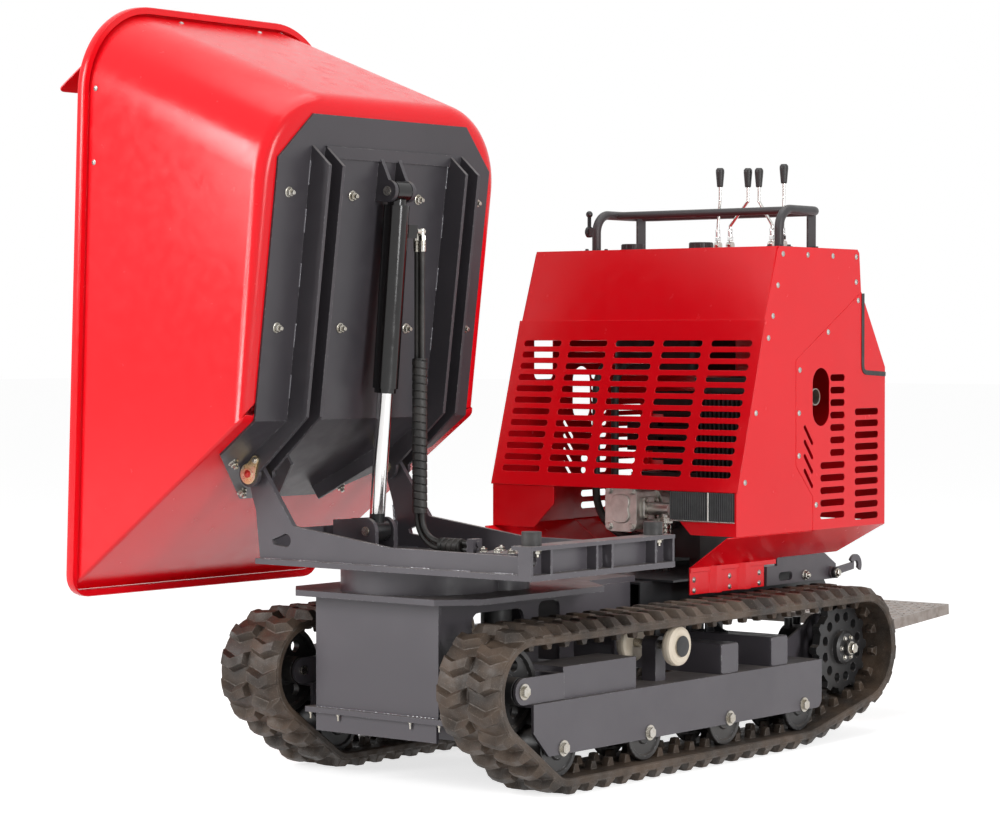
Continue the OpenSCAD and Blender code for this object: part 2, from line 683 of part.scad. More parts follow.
// Moves an open line sideways by d, to its left
function unit(a, b) = (b - a) / norm(b - a);
function left_of(v) = [-v[1], v[0]];
function normal(p, i) = left_of(unit(p[i], p[i + 1]));
function moved(p, d) = [for (i = [0:len(p) - 1])
    let (m = normal(p, max(i - 1, 0)), n = normal(p, min(i, len(p) - 2))) p[i] + d * (m + n) / (1 + m * n)];
lip = [floor_x0 - lip_reach, floor_z + lip_h];
front_bend = [floor_x0, floor_z];
rear_bend = [floor_x1, floor_z];
rear_rim = [floor_x1 + rear_reach, floor_z + rear_h];
skip_line = [lip, front_bend, rear_bend, rear_rim];
rear_lean = atan2(rear_reach, rear_h);
rim_slope = atan2(rear_rim[1] - lip[1], rear_rim[0] - lip[0]);
rim_l = norm(rear_rim - lip);
// Plan of the skip back to x1, moved inward by d, with bevelled rear corners
module plan(x0, x1, d) {
    hw = skip_w / 2;
    c = corner_c + d * tan(22.5);
    polygon([[x0, hw - d], [x1 - c, hw - d], [x1 - d, hw - c], [x1 - d, c - hw], [x1 - c, d - hw],
        [x0, d - hw]]);
}
// Plan of the rim, with round front corners
module rim_plan() {
    r = 60;
    hw = skip_w / 2 + rim_w;
    plan(r - rim_w, rim_l, -rim_w);
    translate([-rim_w, r - hw]) square([r + 1, 2 * hw - 2 * r]);
    for (s = [-1, 1]) translate([r - rim_w, s * (hw - r)]) circle(r);
}
// Space bounded by the skip's sheet, moved inward by d and going on above the rim by up
module tub(d, up) {
    line = moved(skip_line, d);
    far = 1500;
    round_r = bend_r - d;
    intersection() {
        xz_plate(-far / 2, far) polygon(up == 0 ? line : concat(line,
            [line[3] + up * unit(line[2], line[3]), line[0] + up * unit(line[1], line[0])]));
        translate([floor_x1, 0, floor_z]) rotate([0, rear_lean, 0]) translate([0, 0, -far / 2])
            linear_extrude(2 * far) plan(-2 * far, 0, d);
        translate([far, 0, floor_z + d]) rotate([0, -90, 0]) linear_extrude(2.5 * far) {
            translate([round_r, d - skip_w / 2]) square([far, skip_w - 2 * d]);
            translate([0, bend_r - skip_w / 2]) square([far, skip_w - 2 * bend_r]);
            for (s = [-1, 1]) translate([round_r, s * (skip_w / 2 - bend_r)]) circle(round_r);
        }
    }
}
module skip() color(red) tipped() {
    difference() {
        union() {
            tub(0, 0);
            translate([lip[0], 0, lip[1]]) rotate([0, -rim_slope, 0]) translate([0, 0, -rim_h])
                linear_extrude(rim_h) rim_plan();
        }
        tub(skip_t, 120);
    }
    // Spill guard, leaning in over the load from the rear rim
    guard_l = 267;
    guard_lean = 32;
    guard_hw = [280, 400];
    translate([rear_rim[0] + 6, 0, rear_rim[1] - 4]) rotate([0, 180 + guard_lean, 0])
        linear_extrude(skip_t) polygon([[0, -guard_hw[0]], [guard_l, -guard_hw[1]],
            [guard_l, guard_hw[1]], [0, guard_hw[0]]]);
}

upright_t = 10;
upright_gap = 40;
upright_x1 = beam_x - 27;
upright_h = 64;
sheet_w = 820;
slope_dir = unit(front_bend, lip);
// Uprights' side view: along the floor, round the bend and on to the pivot
module upright_side() difference() {
    union() {
        translate([pivot_x, pivot_z]) circle(34);
        polygon([[upright_x1, sheet_z + 1], [upright_x1 - 45, sheet_z - upright_h],
            [-150, sheet_z - upright_h], [pivot_x + 10, pivot_z - 33], [pivot_x - 33, pivot_z + 8],
            front_bend + 200 * slope_dir, front_bend]);
    }
    above = [front_bend + 500 * slope_dir, front_bend, [900, floor_z]];
    polygon(concat(moved(above, 1 - sheet_t), [[900, 1200], [0, 1200]]));
    translate([pivot_x, pivot_z]) circle(pivot_r + fit);
}
// Draws on the front slope: x along it from the floor's bend, y across, z into the skip
module on_slope() translate([front_bend[0], 0, front_bend[1]])
    rotate([0, 180 + atan2(slope_dir[1], -slope_dir[0]), 0]) mirror([0, 0, 1]) children();
module skip_frame() color(steel_grey) tipped() {
    // Folded sheet under the floor and the front slope, tapered down the slope
    taper_l = [145, 355];
    taper_hw = [sheet_w / 2, 165];
    difference() {
        xz_plate(-sheet_w / 2, sheet_w) {
            line = moved([front_bend + taper_l[1] * slope_dir, front_bend, [floor_x1 - 45, floor_z]], -0.05);
            low = moved(line, -sheet_t);
            polygon([line[0], line[1], line[2], low[2], low[1], low[0]]);
        }
        for (s = [-1, 1]) translate([floor_x1 - 45, s * sheet_w / 2, floor_z - 50]) rotate([0, 0, 45])
            cube([160, 160, 120], center = true);
        on_slope() for (s = [-1, 1]) mirror([0, s < 0 ? 1 : 0, 0]) translate([0, 0, -sheet_t - 2])
            linear_extrude(sheet_t + 4) polygon([[taper_l[0], taper_hw[0] + 1], [taper_l[1] + 1, taper_hw[1]],
                [taper_l[1] + 1, taper_hw[0] + 1]]);
    }
    // Slanted ribs on the tapered part
    on_slope() for (s = [0, 1]) mirror([0, s, 0]) translate([140, 170, -sheet_t - 38])
        rotate([0, 0, atan2(-93, 176)]) cube([199, 8, 39]);
    for (s = [-1, 1], e = [-1, 1])
        xz_plate(s * rail_y + e * (upright_gap + upright_t) / 2 - upright_t / 2, upright_t) upright_side();
    // Cross plate and the ears of the cylinder's upper pin
    translate([upright_x1 - 30, -rail_y + 20, sheet_z - 7]) cube([30, 2 * rail_y - 40, 8]);
    for (y = [-eye_hw - 15, eye_hw + 3]) xz_plate(y, 12) difference() {
        union() {
            translate([cyl_ax, cyl_az]) circle(28);
            polygon([[cyl_ax - 28, sheet_z + 1], [cyl_ax - 28, cyl_az], [cyl_ax, cyl_az - 28],
                [cyl_ax + 28, cyl_az], [upright_x1 - 10, sheet_z + 1]]);
        }
        translate([cyl_ax, cyl_az]) circle(pin_r + fit);
    }
}
module pivot_pins() color([0.78, 0.62, 0.3]) tipped() for (s = [0, 1]) mirror([0, s, 0]) {
    in_y = rail_y - upright_gap / 2 - upright_t;
    out_y = rail_y + upright_gap / 2 + upright_t;
    y_bar(in_y - 4, out_y + 6, pivot_r, pivot_x, pivot_z);
    // Keeper plate on the outer face
    xz_plate(out_y, 5) {
        translate([pivot_x, pivot_z]) circle(26);
        translate([pivot_x + 38, pivot_z - 20]) circle(12);
        polygon([[pivot_x + 4, pivot_z + 24], [pivot_x + 43, pivot_z - 10], [pivot_x + 30, pivot_z - 29],
            [pivot_x - 4, pivot_z - 24]]);
    }
}
module barrel_pin() color([0.7, 0.6, 0.3]) tipped() y_bar(-eye_hw - 18, eye_hw + 18, pin_r, cyl_ax, cyl_az);

// Pins of the tip cylinder in the drawn pose, as [x, z] from the slew axis
function raised(p) = let (u = p[0] - pivot_x, v = p[1] - pivot_z, c = cos(tip_deg), n = sin(tip_deg))
    [pivot_x + u * c - v * n, pivot_z + u * n + v * c];
cyl_a = raised([cyl_ax, cyl_az]);
cyl_b = [cyl_bx, cyl_bz];
cyl_l = norm(cyl_b - cyl_a);
// Draws along the cylinder, with z from the upper pin to the lower one
module on_cylinder() placed() translate([cyl_a[0], 0, cyl_a[1]])
    rotate([0, atan2(cyl_b[0] - cyl_a[0], cyl_b[1] - cyl_a[1]), 0]) children();
bore_top = 60;
gland_l = 45;
piston_r = barrel_r - 7;
port_l = 100;
hose_top = cyl_a[1] - port_l - 22;
module cylinder_barrel() color(black) {
    on_cylinder() difference() {
        union() {
            translate([0, 0, 20]) cylinder(h = 20, r = eye_hw - 1);
            translate([0, 0, 35]) cylinder(h = barrel_l - 35, r = barrel_r);
            translate([0, 0, barrel_l - 1]) cylinder(h = 13, r = barrel_r - 5);
            y_bar(-eye_hw, eye_hw, 28, 0, 0);
            // Port block and the steel pipe to the rod end
            translate([-24, barrel_r - 8, port_l - 17]) cube([48, 34, 34]);
            y_bar(barrel_r - 8, barrel_r + 14, 6, 16, barrel_l - 40);
            translate([16, barrel_r + 10, port_l]) cylinder(h = barrel_l - 36 - port_l, r = 4);
        }
        y_bar(-eye_hw - 1, eye_hw + 1, pin_r + fit, 0, 0);
        translate([0, 0, bore_top]) cylinder(h = barrel_l - gland_l - bore_top, r = piston_r);
        translate([0, 0, barrel_l - gland_l - 1]) cylinder(h = gland_l + 20, r = rod_r + fit);
    }
    // Elbows from the port block to the hoses
    placed() for (d = [-hose_gap, hose_gap]) {
        y_bar(barrel_r + 20, hose_y + 7, 7, hose_x + d, hose_top + 22);
        translate([hose_x + d, hose_y, hose_top]) cylinder(h = 29, r = 7.9);
    }
}
module cylinder_rod() color(zinc) on_cylinder() difference() {
    piston_z = barrel_l - gland_l - 80;
    union() {
        translate([0, 0, piston_z]) cylinder(h = 40, r = piston_r - fit);
        translate([0, 0, piston_z + 39]) cylinder(h = cyl_l - piston_z - 39 - 22, r = rod_r);
        y_bar(-eye_hw, eye_hw, 30, 0, cyl_l);
    }
    y_bar(-eye_hw - 1, eye_hw + 1, pin_r + fit, 0, cyl_l);
}
// Two hoses in a ribbed guard, from the elbows down to the unions on the tip frame
module ribbed_guard(l, ribs) rotate_extrude() {
    inner = 2 * hose_gap + 0.3;
    p = l / ribs;
    polygon(concat([[inner, 0]], [for (i = [0:ribs - 1], k = [[0.04, 1], [0.1, 3], [0.9, 3], [0.96, 1]])
        [inner + k[1], (i + k[0]) * p]], [[inner, l]]));
}
module tip_hoses() color(black) placed() {
    bend_z = hose_z + hose_bend;
    end_gap = 0.05;
    for (d = [-hose_gap, hose_gap]) {
        translate([hose_x + d, hose_y, bend_z]) cylinder(h = hose_top - end_gap - bend_z, r = hose_r);
        translate([hose_x + hose_bend, hose_y, bend_z]) rotate([90, 0, 0]) rotate([0, 0, 180])
            rotate_extrude(angle = 90) translate([hose_bend - d, 0]) circle(hose_r);
        x_bar(hose_x + hose_bend, union_x - end_gap, hose_r, hose_y, hose_z + d);
    }
    translate([hose_x, hose_y, bend_z + 10]) ribbed_guard(400, 20);
    translate([hose_x + hose_bend + 4, hose_y, hose_z]) rotate([0, 90, 0]) ribbed_guard(70, 4);
}

hood_hw = hood_w / 2;
hood_in = hood_hw - hood_t - 1;
louvre_y = 812;
louvre_z = 713;
fold_y = 942;
fold_z = 1167;
top_y0 = 1011;
top_y1 = 1430;
tail_y = 1570;
tail_z = 1046;
neck = [1440, 1260];
seam = [neck, [1102, 1068], [1103, 776], [1189, 688], [1190, hood_z0]];
module louvre_panel() color(red) placed() {
    lean = atan2(fold_y - louvre_y, fold_z - louvre_z);
    l = norm([fold_y - louvre_y, fold_z - louvre_z]);
    pitch_x = 163;
    pitch_z = 33.5;
    hw = hood_hw + 4;
    translate([0, louvre_y, louvre_z]) rotate([90 - lean, 0, 0]) linear_extrude(hood_t) difference() {
        translate([-hw, 0]) square([2 * hw, l + 12]);
        for (c = [0:louvre_columns - 1], r = [0:louvre_rows - 1])
            translate([(c - (louvre_columns - 1) / 2) * pitch_x, 48 + r * pitch_z])
                slot2d(louvre_l, louvre_h);
    }
}
// The right side has a window behind the upper louvres as well
module side_panels() color(red) placed() for (s = [-1, 1]) side(s) {
    yz_plate(hood_in, hood_t) difference() {
        polygon(concat([[louvre_y, hood_z0], [louvre_y, louvre_z], [fold_y, fold_z], [top_y0, hood_z - 8],
            [top_y0 + 8, hood_z], [top_y1 - 10, hood_z], [top_y1, hood_z - 10]], seam));
        if (s < 0) translate([1000, 1010]) rrect(90, 140, 15);
    }
    // Front return below the louvres, cut away to show the pump
    xz_plate(louvre_y, hood_t) polygon([[hood_in + 1, hood_z0], [hood_in + 1, louvre_z - 0.3],
        [200, louvre_z - 0.3], [200, louvre_z - 50], [270, hood_z0]]);
}
module vent_slots() {
    for (i = [0:6]) translate([1315, 1018 - 35 * i]) slot2d(76, 19);
    for (i = [0:4]) translate([1290, 773 - 35 * i]) slot2d(127, 19);
    for (i = [0:9]) translate([1470, 920 - 33 * i]) slot2d(126, 19);
    for (i = [0:3]) translate([1165, 860 - 40 * i]) rotate(-50) slot2d(70, 12);
    translate([1229, 965]) rotate(90) slot2d(162, 87);
}
module vent_covers() color(red) placed() for (s = [-1, 1]) side(s) {
    yz_plate(hood_hw - hood_t, hood_t) difference() {
        polygon(concat(seam, [[tail_y, hood_z0], [tail_y, tail_z]]));
        vent_slots();
    }
    // Turned-in lower edge, mitred at the rear
    miter = 70;
    turn_in = hood_hw - bracket_x - 10;
    turn_down = 82;
    difference() {
        xz_plate(1192, tail_y - 1192) {
            line = [[hood_hw, hood_z0], [hood_hw - turn_in, hood_z0 - turn_down]];
            in = moved(line, -hood_t);
            polygon([line[0], line[1], in[1], in[0]]);
        }
        translate([hood_hw, tail_y, hood_z0 - 2 * turn_down]) linear_extrude(2 * turn_down - 6)
            polygon([[0, 0], [-1.5 * turn_in, -1.5 * miter], [-1.5 * turn_in, 10], [0, 10]]);
    }
}
cap_xs = [-237, 5];
cap_y = 1240;
neck_r = 26;
lever_y = 1330;
lever_xs = [2, 45, 189, 226];
// Top sheet, with the upper front folded down from it
module top_panel() color(red) placed() {
    translate([0, 0, hood_z - hood_t]) linear_extrude(hood_t) difference() {
        translate([-hood_in, top_y0]) square([2 * hood_in, top_y1 - top_y0 - 4]);
        for (x = cap_xs) translate([x, cap_y]) circle(neck_r + 4);
        for (x = lever_xs) translate([x - 13, lever_y - 32]) square([26, 64]);
    }
    yz_plate(-hood_in, 2 * hood_in) {
        line = [[top_y0, hood_z], [fold_y, fold_z]];
        in = moved(line, hood_t);
        polygon([line[0], line[1], in[1], in[0] + [0, -hood_t]]);
    }
}
module rear_panel() color(red) placed() yz_plate(-hood_in, 2 * hood_in) {
    line = [[top_y1 - 4, hood_z - hood_t], [neck[0] - 4, neck[1]], [tail_y - 1, tail_z],
        [tail_y - 1, hood_z0 + 10]];
    in = moved(line, -hood_t);
    polygon(concat(line, [in[3], in[2], in[1], in[0]]));
}
// Folded sheets that carry the hood on the engine bed
module skirts() color(red) placed() for (s = [-1, 1]) side(s) {
    x0 = bracket_x + hood_t;
    z1 = hood_z0 - 85;
    rib = 14;
    plan = [[773, x0], [865, x0], [880, x0 + rib], [905, x0 + rib], [920, x0], [1005, x0], [1020, x0 + rib],
        [1045, x0 + rib], [1060, x0], [1133, x0]];
    in = moved(plan, -hood_t);
    translate([0, 0, over_track_z]) linear_extrude(z1 - over_track_z) mirror([1, -1])
        polygon(concat(plan, [for (i = [len(plan) - 1:-1:0]) in[i]]));
    xz_plate(773, 416) {
        line = [[hood_in, hood_z0], [x0, z1], [x0, z1 - rib]];
        out = moved(line, hood_t);
        polygon(concat(line, [out[2], out[1], out[0]]));
    }
}

engine_x = -20;
engine_z = 653;
engine_y0 = 1100;
engine_y1 = 1380;
bed_z = deck_z0 + bed_t;
case_top = 745;
module engine() color(black) placed() translate([engine_x, 0, 0]) {
    // Crankcase on two feet
    case_hw = 120;
    foot = 26;
    for (x = [-case_hw, case_hw - 50]) translate([x, engine_y0 + 20, bed_z])
        cube([50, engine_y1 - engine_y0 - 40, foot + 1]);
    translate([-case_hw, engine_y0, bed_z + foot])
        cube([2 * case_hw, engine_y1 - engine_y0, case_top - bed_z - foot]);
    // Finned cylinder under its head
    fins = 8;
    fin_pitch = 22;
    translate([-58, muffler_y - 58, case_top - 1]) cube([116, 116, fins * fin_pitch + 2]);
    for (i = [0:fins - 1]) translate([-80, muffler_y - 80, case_top + 12 + i * fin_pitch])
        cube([160, 160, 8]);
    translate([-85, muffler_y - 85, case_top + fins * fin_pitch]) cube([170, 170, 55]);
    // Air cleaner on the right
    translate([-178, muffler_y - 70, case_top + 60]) cube([110, 140, 90]);
    // Fan housing and recoil starter at the rear
    y_bar(engine_y1 - 1, engine_y1 + 45, 150, 0, engine_z);
    y_bar(engine_y1 + 44, engine_y1 + 62, 90, 0, engine_z);
}
muffler_y = 1229;
muffler_z = 965;
// Muffler beside the engine's head, hollow, with its outlet behind the oval hole in the vent cover
module muffler() color(zinc) placed() difference() {
    wall = 3;
    outlet_x = hood_in - 14;
    union() {
        x_bar(engine_x + 85, 151, 22, muffler_y, muffler_z - 16);
        x_bar(150, 330, 74, muffler_y, muffler_z);
        x_bar(329, outlet_x, 24, muffler_y, muffler_z);
    }
    x_bar(150 + wall, 330 - wall, 74 - wall, muffler_y, muffler_z);
    x_bar(330 - wall - 1, outlet_x + 1, 24 - wall, muffler_y, muffler_z);
}
tank_y0 = 1060;
tank_z0 = 1030;
pump_y = 945;
pump_hw = 50;
pump_hh = 60;
module gear_pump() color(zinc) placed() translate([engine_x, 0, engine_z]) {
    // Bell housing on the engine's front
    y_bar(pump_y + 44, engine_y0, 72, 0, 0);
    // Pump body and end cover
    xz_plate(pump_y - 45, 90) translate([-pump_hw, -pump_hh]) rrect(2 * pump_hw, 2 * pump_hh, 22);
    xz_plate(pump_y - 59, 15) translate([-pump_hw - 4, -pump_hh - 4])
        rrect(2 * pump_hw + 8, 2 * pump_hh + 8, 24);
    // Ports, with an elbow up on the right and an elbow down on the left
    x_bar(-pump_hw - port_out, pump_hw + 1, port_r, pump_y, 0);
    x_bar(pump_hw - 1, pump_hw + pressure_out, port_r, pump_y, 0);
    translate([port_r - 2 - pump_hw - port_out, pump_y, 0]) cylinder(h = elbow_l, r = port_r - 5);
    translate([pump_hw + pressure_out - port_r + 2, pump_y, -elbow_l]) cylinder(h = elbow_l, r = port_r - 5);
}
port_r = 18;
port_out = 30;
pressure_out = 80;
elbow_l = 47;
// Quarter bend of a round bar, from +x to +y
module elbow(bend, r) rotate_extrude(angle = 90) translate([bend, 0]) circle(r);
line_r = 11;
line_bend = 88;
line_z = tank_z0 + 35;
// Hose that runs up at x from z, then bends back into the hydraulic tank's front
module riser(x, z) {
    translate([x, pump_y, z]) cylinder(h = line_z - line_bend - z, r = line_r);
    translate([x, pump_y + line_bend, line_z - line_bend]) rotate([90, 0, 90]) rotate([0, 0, 90])
        elbow(line_bend, line_r);
    y_bar(pump_y + line_bend, tank_y0, line_r, x, line_z);
}
return_x = -150;
return_bend = 130;
return_z = engine_z - 83;
union_l = 60;
module pump_hoses() color(black) placed() {
    // Suction hose, from the tank to the right port
    riser(engine_x - pump_hw - port_out + port_r - 2, engine_z + elbow_l);
    // Return hose, from its union on the bed, under the pump and up to the tank
    mid_x = return_x + return_bend;
    x_bar(mid_x, mid_x + union_l, line_r, pump_y, return_z);
    translate([mid_x, pump_y, return_z + return_bend]) rotate([90, 0, 0]) rotate([0, 0, 180])
        elbow(return_bend, line_r);
    riser(return_x, return_z + return_bend);
    // Pressure hose, from the left port down to the bed
    translate([engine_x + pump_hw + pressure_out - port_r + 2, pump_y, bed_z])
        cylinder(h = engine_z - elbow_l - bed_z, r = line_r);
}
tank_top = hood_z - hood_t - 4;
neck_top = hood_z + 14;
// Tank with round upright edges, a seat under the hood's top and a filler neck
module tank(x0, x1, y1, z0, neck_x) difference() {
    union() {
        translate([x0, tank_y0, z0]) linear_extrude(tank_top - z0) rrect(x1 - x0, y1 - tank_y0, 24);
        translate([neck_x, cap_y, tank_top - 1])
            cylinder(h = hood_z - hood_t - tank_top + 1, r = neck_r + 14);
        translate([neck_x, cap_y, tank_top - 1]) cylinder(h = neck_top - tank_top + 1, r = neck_r);
    }
    translate([neck_x, cap_y, neck_top - 90]) cylinder(h = 91, r = neck_r - 5);
}
module fuel_tank() color(black) placed() tank(-400, -195, 1370, 1180, cap_xs[0]);
module hydraulic_tank() color(black) placed() tank(-180, 110, 1280, tank_z0, cap_xs[1]);
// Filler cap, hollow over the neck
module cap(i) color(black) placed() translate([cap_xs[i], cap_y, hood_z + 0.3]) difference() {
    r = neck_r + 9;
    union() {
        cylinder(h = 24, r = r - 2);
        for (a = [0:30:330]) rotate(a) translate([r - 3, 0, 2]) cylinder(h = 20, r = 3);
    }
    translate([0, 0, -1]) cylinder(h = neck_top - hood_z + 1, r = neck_r + 0.3);
}
module oil_cooler() color(black) placed() {
    x0 = 200;
    y0 = 930;
    z0 = 620;
    w = 196;
    d = 60;
    h = 400;
    for (z = [z0, z0 + h - 40]) translate([x0, y0, z]) cube([w, d, 40]);
    for (i = [0:13]) translate([x0 + i * 14.6, y0 + 6, z0 + 39]) cube([6, d - 12, h - 78]);
    // Brackets to the left side panel
    for (z = [z0, z0 + h - 30]) translate([x0 + w - 1, y0 + 10, z]) cube([hood_in - x0 - w + 1, 40, 30]);
}

lever_z = hood_z + 18;
lever_pin_r = 4;
block_y = 34;
module valve_block() color(zinc) placed() {
    z0 = 1290;
    top = hood_z - hood_t;
    x0 = lever_xs[0] - 38;
    x1 = lever_xs[3] + 38;
    translate([x0, lever_y - block_y, z0]) cube([x1 - x0, 2 * block_y, top - 12 - z0]);
    for (x = [x0, x1 - 20]) translate([x, lever_y - block_y, top - 13]) cube([20, 2 * block_y, 13]);
    // Forks of the levers, with their pins
    for (x = lever_xs) {
        for (e = [-9.5, 5.5]) yz_plate(x + e, 4) {
            translate([lever_y, lever_z]) circle(9);
            translate([lever_y - 9, top - 13]) square([18, lever_z - top + 13]);
        }
        x_bar(x - 9, x + 9, lever_pin_r, lever_y, lever_z);
    }
}
knob_xs = [9, 106, 144, 229];
knob_zs = [1567, 1563, 1562, 1570];
// Rod between two points of the plane in which a lever is bent, with round ends
module rod(a, b) {
    translate([a[0], lever_y, a[1]]) rotate([0, atan2(b[0] - a[0], b[1] - a[1]), 0])
        cylinder(h = norm(b - a), r = lever_r);
    translate([b[0], lever_y, b[1]]) sphere(lever_r + 0.3);
}
module lever(i) color(black) placed() {
    foot = lever_xs[i];
    head = knob_xs[i];
    z = knob_zs[i];
    difference() {
        union() {
            x_bar(foot - 5, foot + 5, 9, lever_y, lever_z);
            rod([foot, lever_z + 7], [foot, lever_z + 55]);
            rod([foot, lever_z + 55], [head, z - 40]);
            translate([head, lever_y, z - 40]) cylinder(h = 55, r = lever_r);
        }
        x_bar(foot - 6, foot + 6, lever_pin_r + fit, lever_y, lever_z);
    }
    // Knob
    translate([head, lever_y, z]) rotate_extrude() polygon([[lever_r + 0.1, 0], [8, 0], [9, 3],
        [12.5, knob_h - 12], [12, knob_h - 5], [8, knob_h], [0, knob_h], [0, 21], [lever_r + 0.1, 21]]);
}

bar_x = 318;
leg_y = 1170;
bar_z = hood_z + bar_h;
throttle_z = hood_z + 60;
throttle_pin_r = 5;
module handlebar() color(black) placed() {
    bend = 55;
    rear_y = 1390;
    for (s = [-1, 1]) side(s) {
        // Front leg on its foot, the bend over it and the run to the rear
        translate([bar_x, leg_y, hood_z]) cylinder(h = bar_h - bend, r = bar_r);
        translate([bar_x - 28, leg_y - 28, hood_z]) cube([56, 56, 5]);
        translate([bar_x, leg_y + bend, bar_z - bend]) rotate([90, 0, 90]) rotate([0, 0, 90])
            elbow(bend, bar_r);
        y_bar(leg_y + bend, rear_y - bend, bar_r, bar_x, bar_z);
        translate([bar_x - bend, rear_y - bend, bar_z]) elbow(bend, bar_r);
        // Flat upright under the corner, on its foot
        translate([bar_x - 22, rear_y - 45, hood_z]) cube([6, 40, bar_h]);
        translate([bar_x - 40, rear_y - 48, hood_z]) cube([36, 46, 5]);
    }
    x_bar(bend - bar_x, bar_x - bend, bar_r, rear_y, bar_z);
    x_bar(-bar_x, bar_x, bar_r - 2, leg_y + 95, bar_z);
    // Bracket and pin of the throttle lever
    translate([-bar_x - bar_r - 8, leg_y - 12, throttle_z - 12]) cube([bar_r + 8, 24, 24]);
    x_bar(-bar_x - bar_r - 20, -bar_x - bar_r - 7, throttle_pin_r, leg_y, throttle_z);
}
module throttle_lever() color(black) placed() {
    x0 = -bar_x - bar_r - 18;
    difference() {
        union() {
            x_bar(x0, x0 + 9.5, 16, leg_y, throttle_z);
            translate([x0 + 2, leg_y - 6, throttle_z]) cube([5, 12, 50]);
            translate([x0 + 4.5, leg_y, throttle_z + 52]) sphere(10);
        }
        x_bar(x0 - 8, x0 + 10, throttle_pin_r + fit, leg_y, throttle_z);
    }
}

chassis();
rear_frame();
track_frames();
track(1);  // track_left
track(-1);  // track_right
idler_yokes();
wheel_axles();
sprocket(1);  // sprocket_left
sprocket(-1);  // sprocket_right
idler(1);  // idler_left
idler(-1);  // idler_right
road_wheel(1, 0);  // road_wheel_left_1
road_wheel(1, 1);  // road_wheel_left_2
road_wheel(1, 2);  // road_wheel_left_3
road_wheel(1, 3);  // road_wheel_left_4
road_wheel(-1, 0);  // road_wheel_right_1
road_wheel(-1, 1);  // road_wheel_right_2
road_wheel(-1, 2);  // road_wheel_right_3
road_wheel(-1, 3);  // road_wheel_right_4
carrier(1);  // carrier_left
carrier(-1);  // carrier_right
drive_motors();
slew_guard();
slew_ring_base();
slew_motor();
slew_ring();
tip_frame();
buffers();
rod_pin();
skip();
skip_frame();
pivot_pins();
barrel_pin();
cylinder_barrel();
cylinder_rod();
tip_hoses();
louvre_panel();
side_panels();
vent_covers();
top_panel();
rear_panel();
skirts();
engine();
muffler();
gear_pump();
pump_hoses();
fuel_tank();
cap(0);  // fuel_cap
hydraulic_tank();
cap(1);  // oil_cap
oil_cooler();
valve_block();
handlebar();
lever(0);  // lever_1
lever(1);  // lever_2
lever(2);  // lever_3
lever(3);  // lever_4
throttle_lever();
platform();
platform_latch();
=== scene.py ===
"""Looks of the tracked mini dumper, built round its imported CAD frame. Metres, in the frame's own axes.

Places are written as on the drawing: millimetres from the slew axis, with +X to the machine's left,
-Y forward and +Z up. Pieces on the skip are written as with the skip level, and RAISE tips them up.
"""
import json
import math
import random

import bmesh
import bpy
from mathutils import Matrix, Vector


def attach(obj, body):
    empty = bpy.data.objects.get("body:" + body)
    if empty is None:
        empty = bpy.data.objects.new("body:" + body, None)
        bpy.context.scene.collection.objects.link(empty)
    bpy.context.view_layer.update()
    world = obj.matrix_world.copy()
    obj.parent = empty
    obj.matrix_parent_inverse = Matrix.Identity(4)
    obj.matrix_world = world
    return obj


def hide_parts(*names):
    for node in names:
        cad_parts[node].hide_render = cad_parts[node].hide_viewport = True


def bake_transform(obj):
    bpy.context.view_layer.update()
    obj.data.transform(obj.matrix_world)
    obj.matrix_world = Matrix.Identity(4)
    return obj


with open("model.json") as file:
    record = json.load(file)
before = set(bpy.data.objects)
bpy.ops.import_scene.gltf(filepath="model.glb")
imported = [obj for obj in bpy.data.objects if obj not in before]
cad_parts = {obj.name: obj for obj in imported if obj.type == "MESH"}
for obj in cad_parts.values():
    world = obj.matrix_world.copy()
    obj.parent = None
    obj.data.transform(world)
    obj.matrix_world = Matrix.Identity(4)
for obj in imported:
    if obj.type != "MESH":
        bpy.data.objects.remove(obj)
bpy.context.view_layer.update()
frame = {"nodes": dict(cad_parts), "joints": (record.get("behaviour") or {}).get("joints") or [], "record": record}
JOINTS = {joint["name"]: joint for joint in frame["joints"]}
MM = 0.001


# Places

SLEW = Vector(JOINTS["slew_turn"]["pos_m"])
PIVOT = Vector(JOINTS["skip_tip"]["pos_m"])
TIP = math.radians(JOINTS["skip_tip"]["range_deg"][1])
RAISE = Matrix.Translation(PIVOT) @ Matrix.Rotation(-TIP, 4, "Y") @ Matrix.Translation(-PIVOT)


def at(x, y, z):
    """A place in millimetres from the slew axis and the ground, in the frame."""
    return Vector((SLEW.x + x * MM, SLEW.y + y * MM, z * MM))


def facing(place, direction, turn=0.0):
    """A matrix at place whose +Z points along direction, turned about it."""
    spin = Vector(direction).normalized().to_track_quat("Z", "Y").to_matrix().to_4x4()
    return Matrix.Translation(place) @ spin @ Matrix.Rotation(turn, 4, "Z")


# Materials

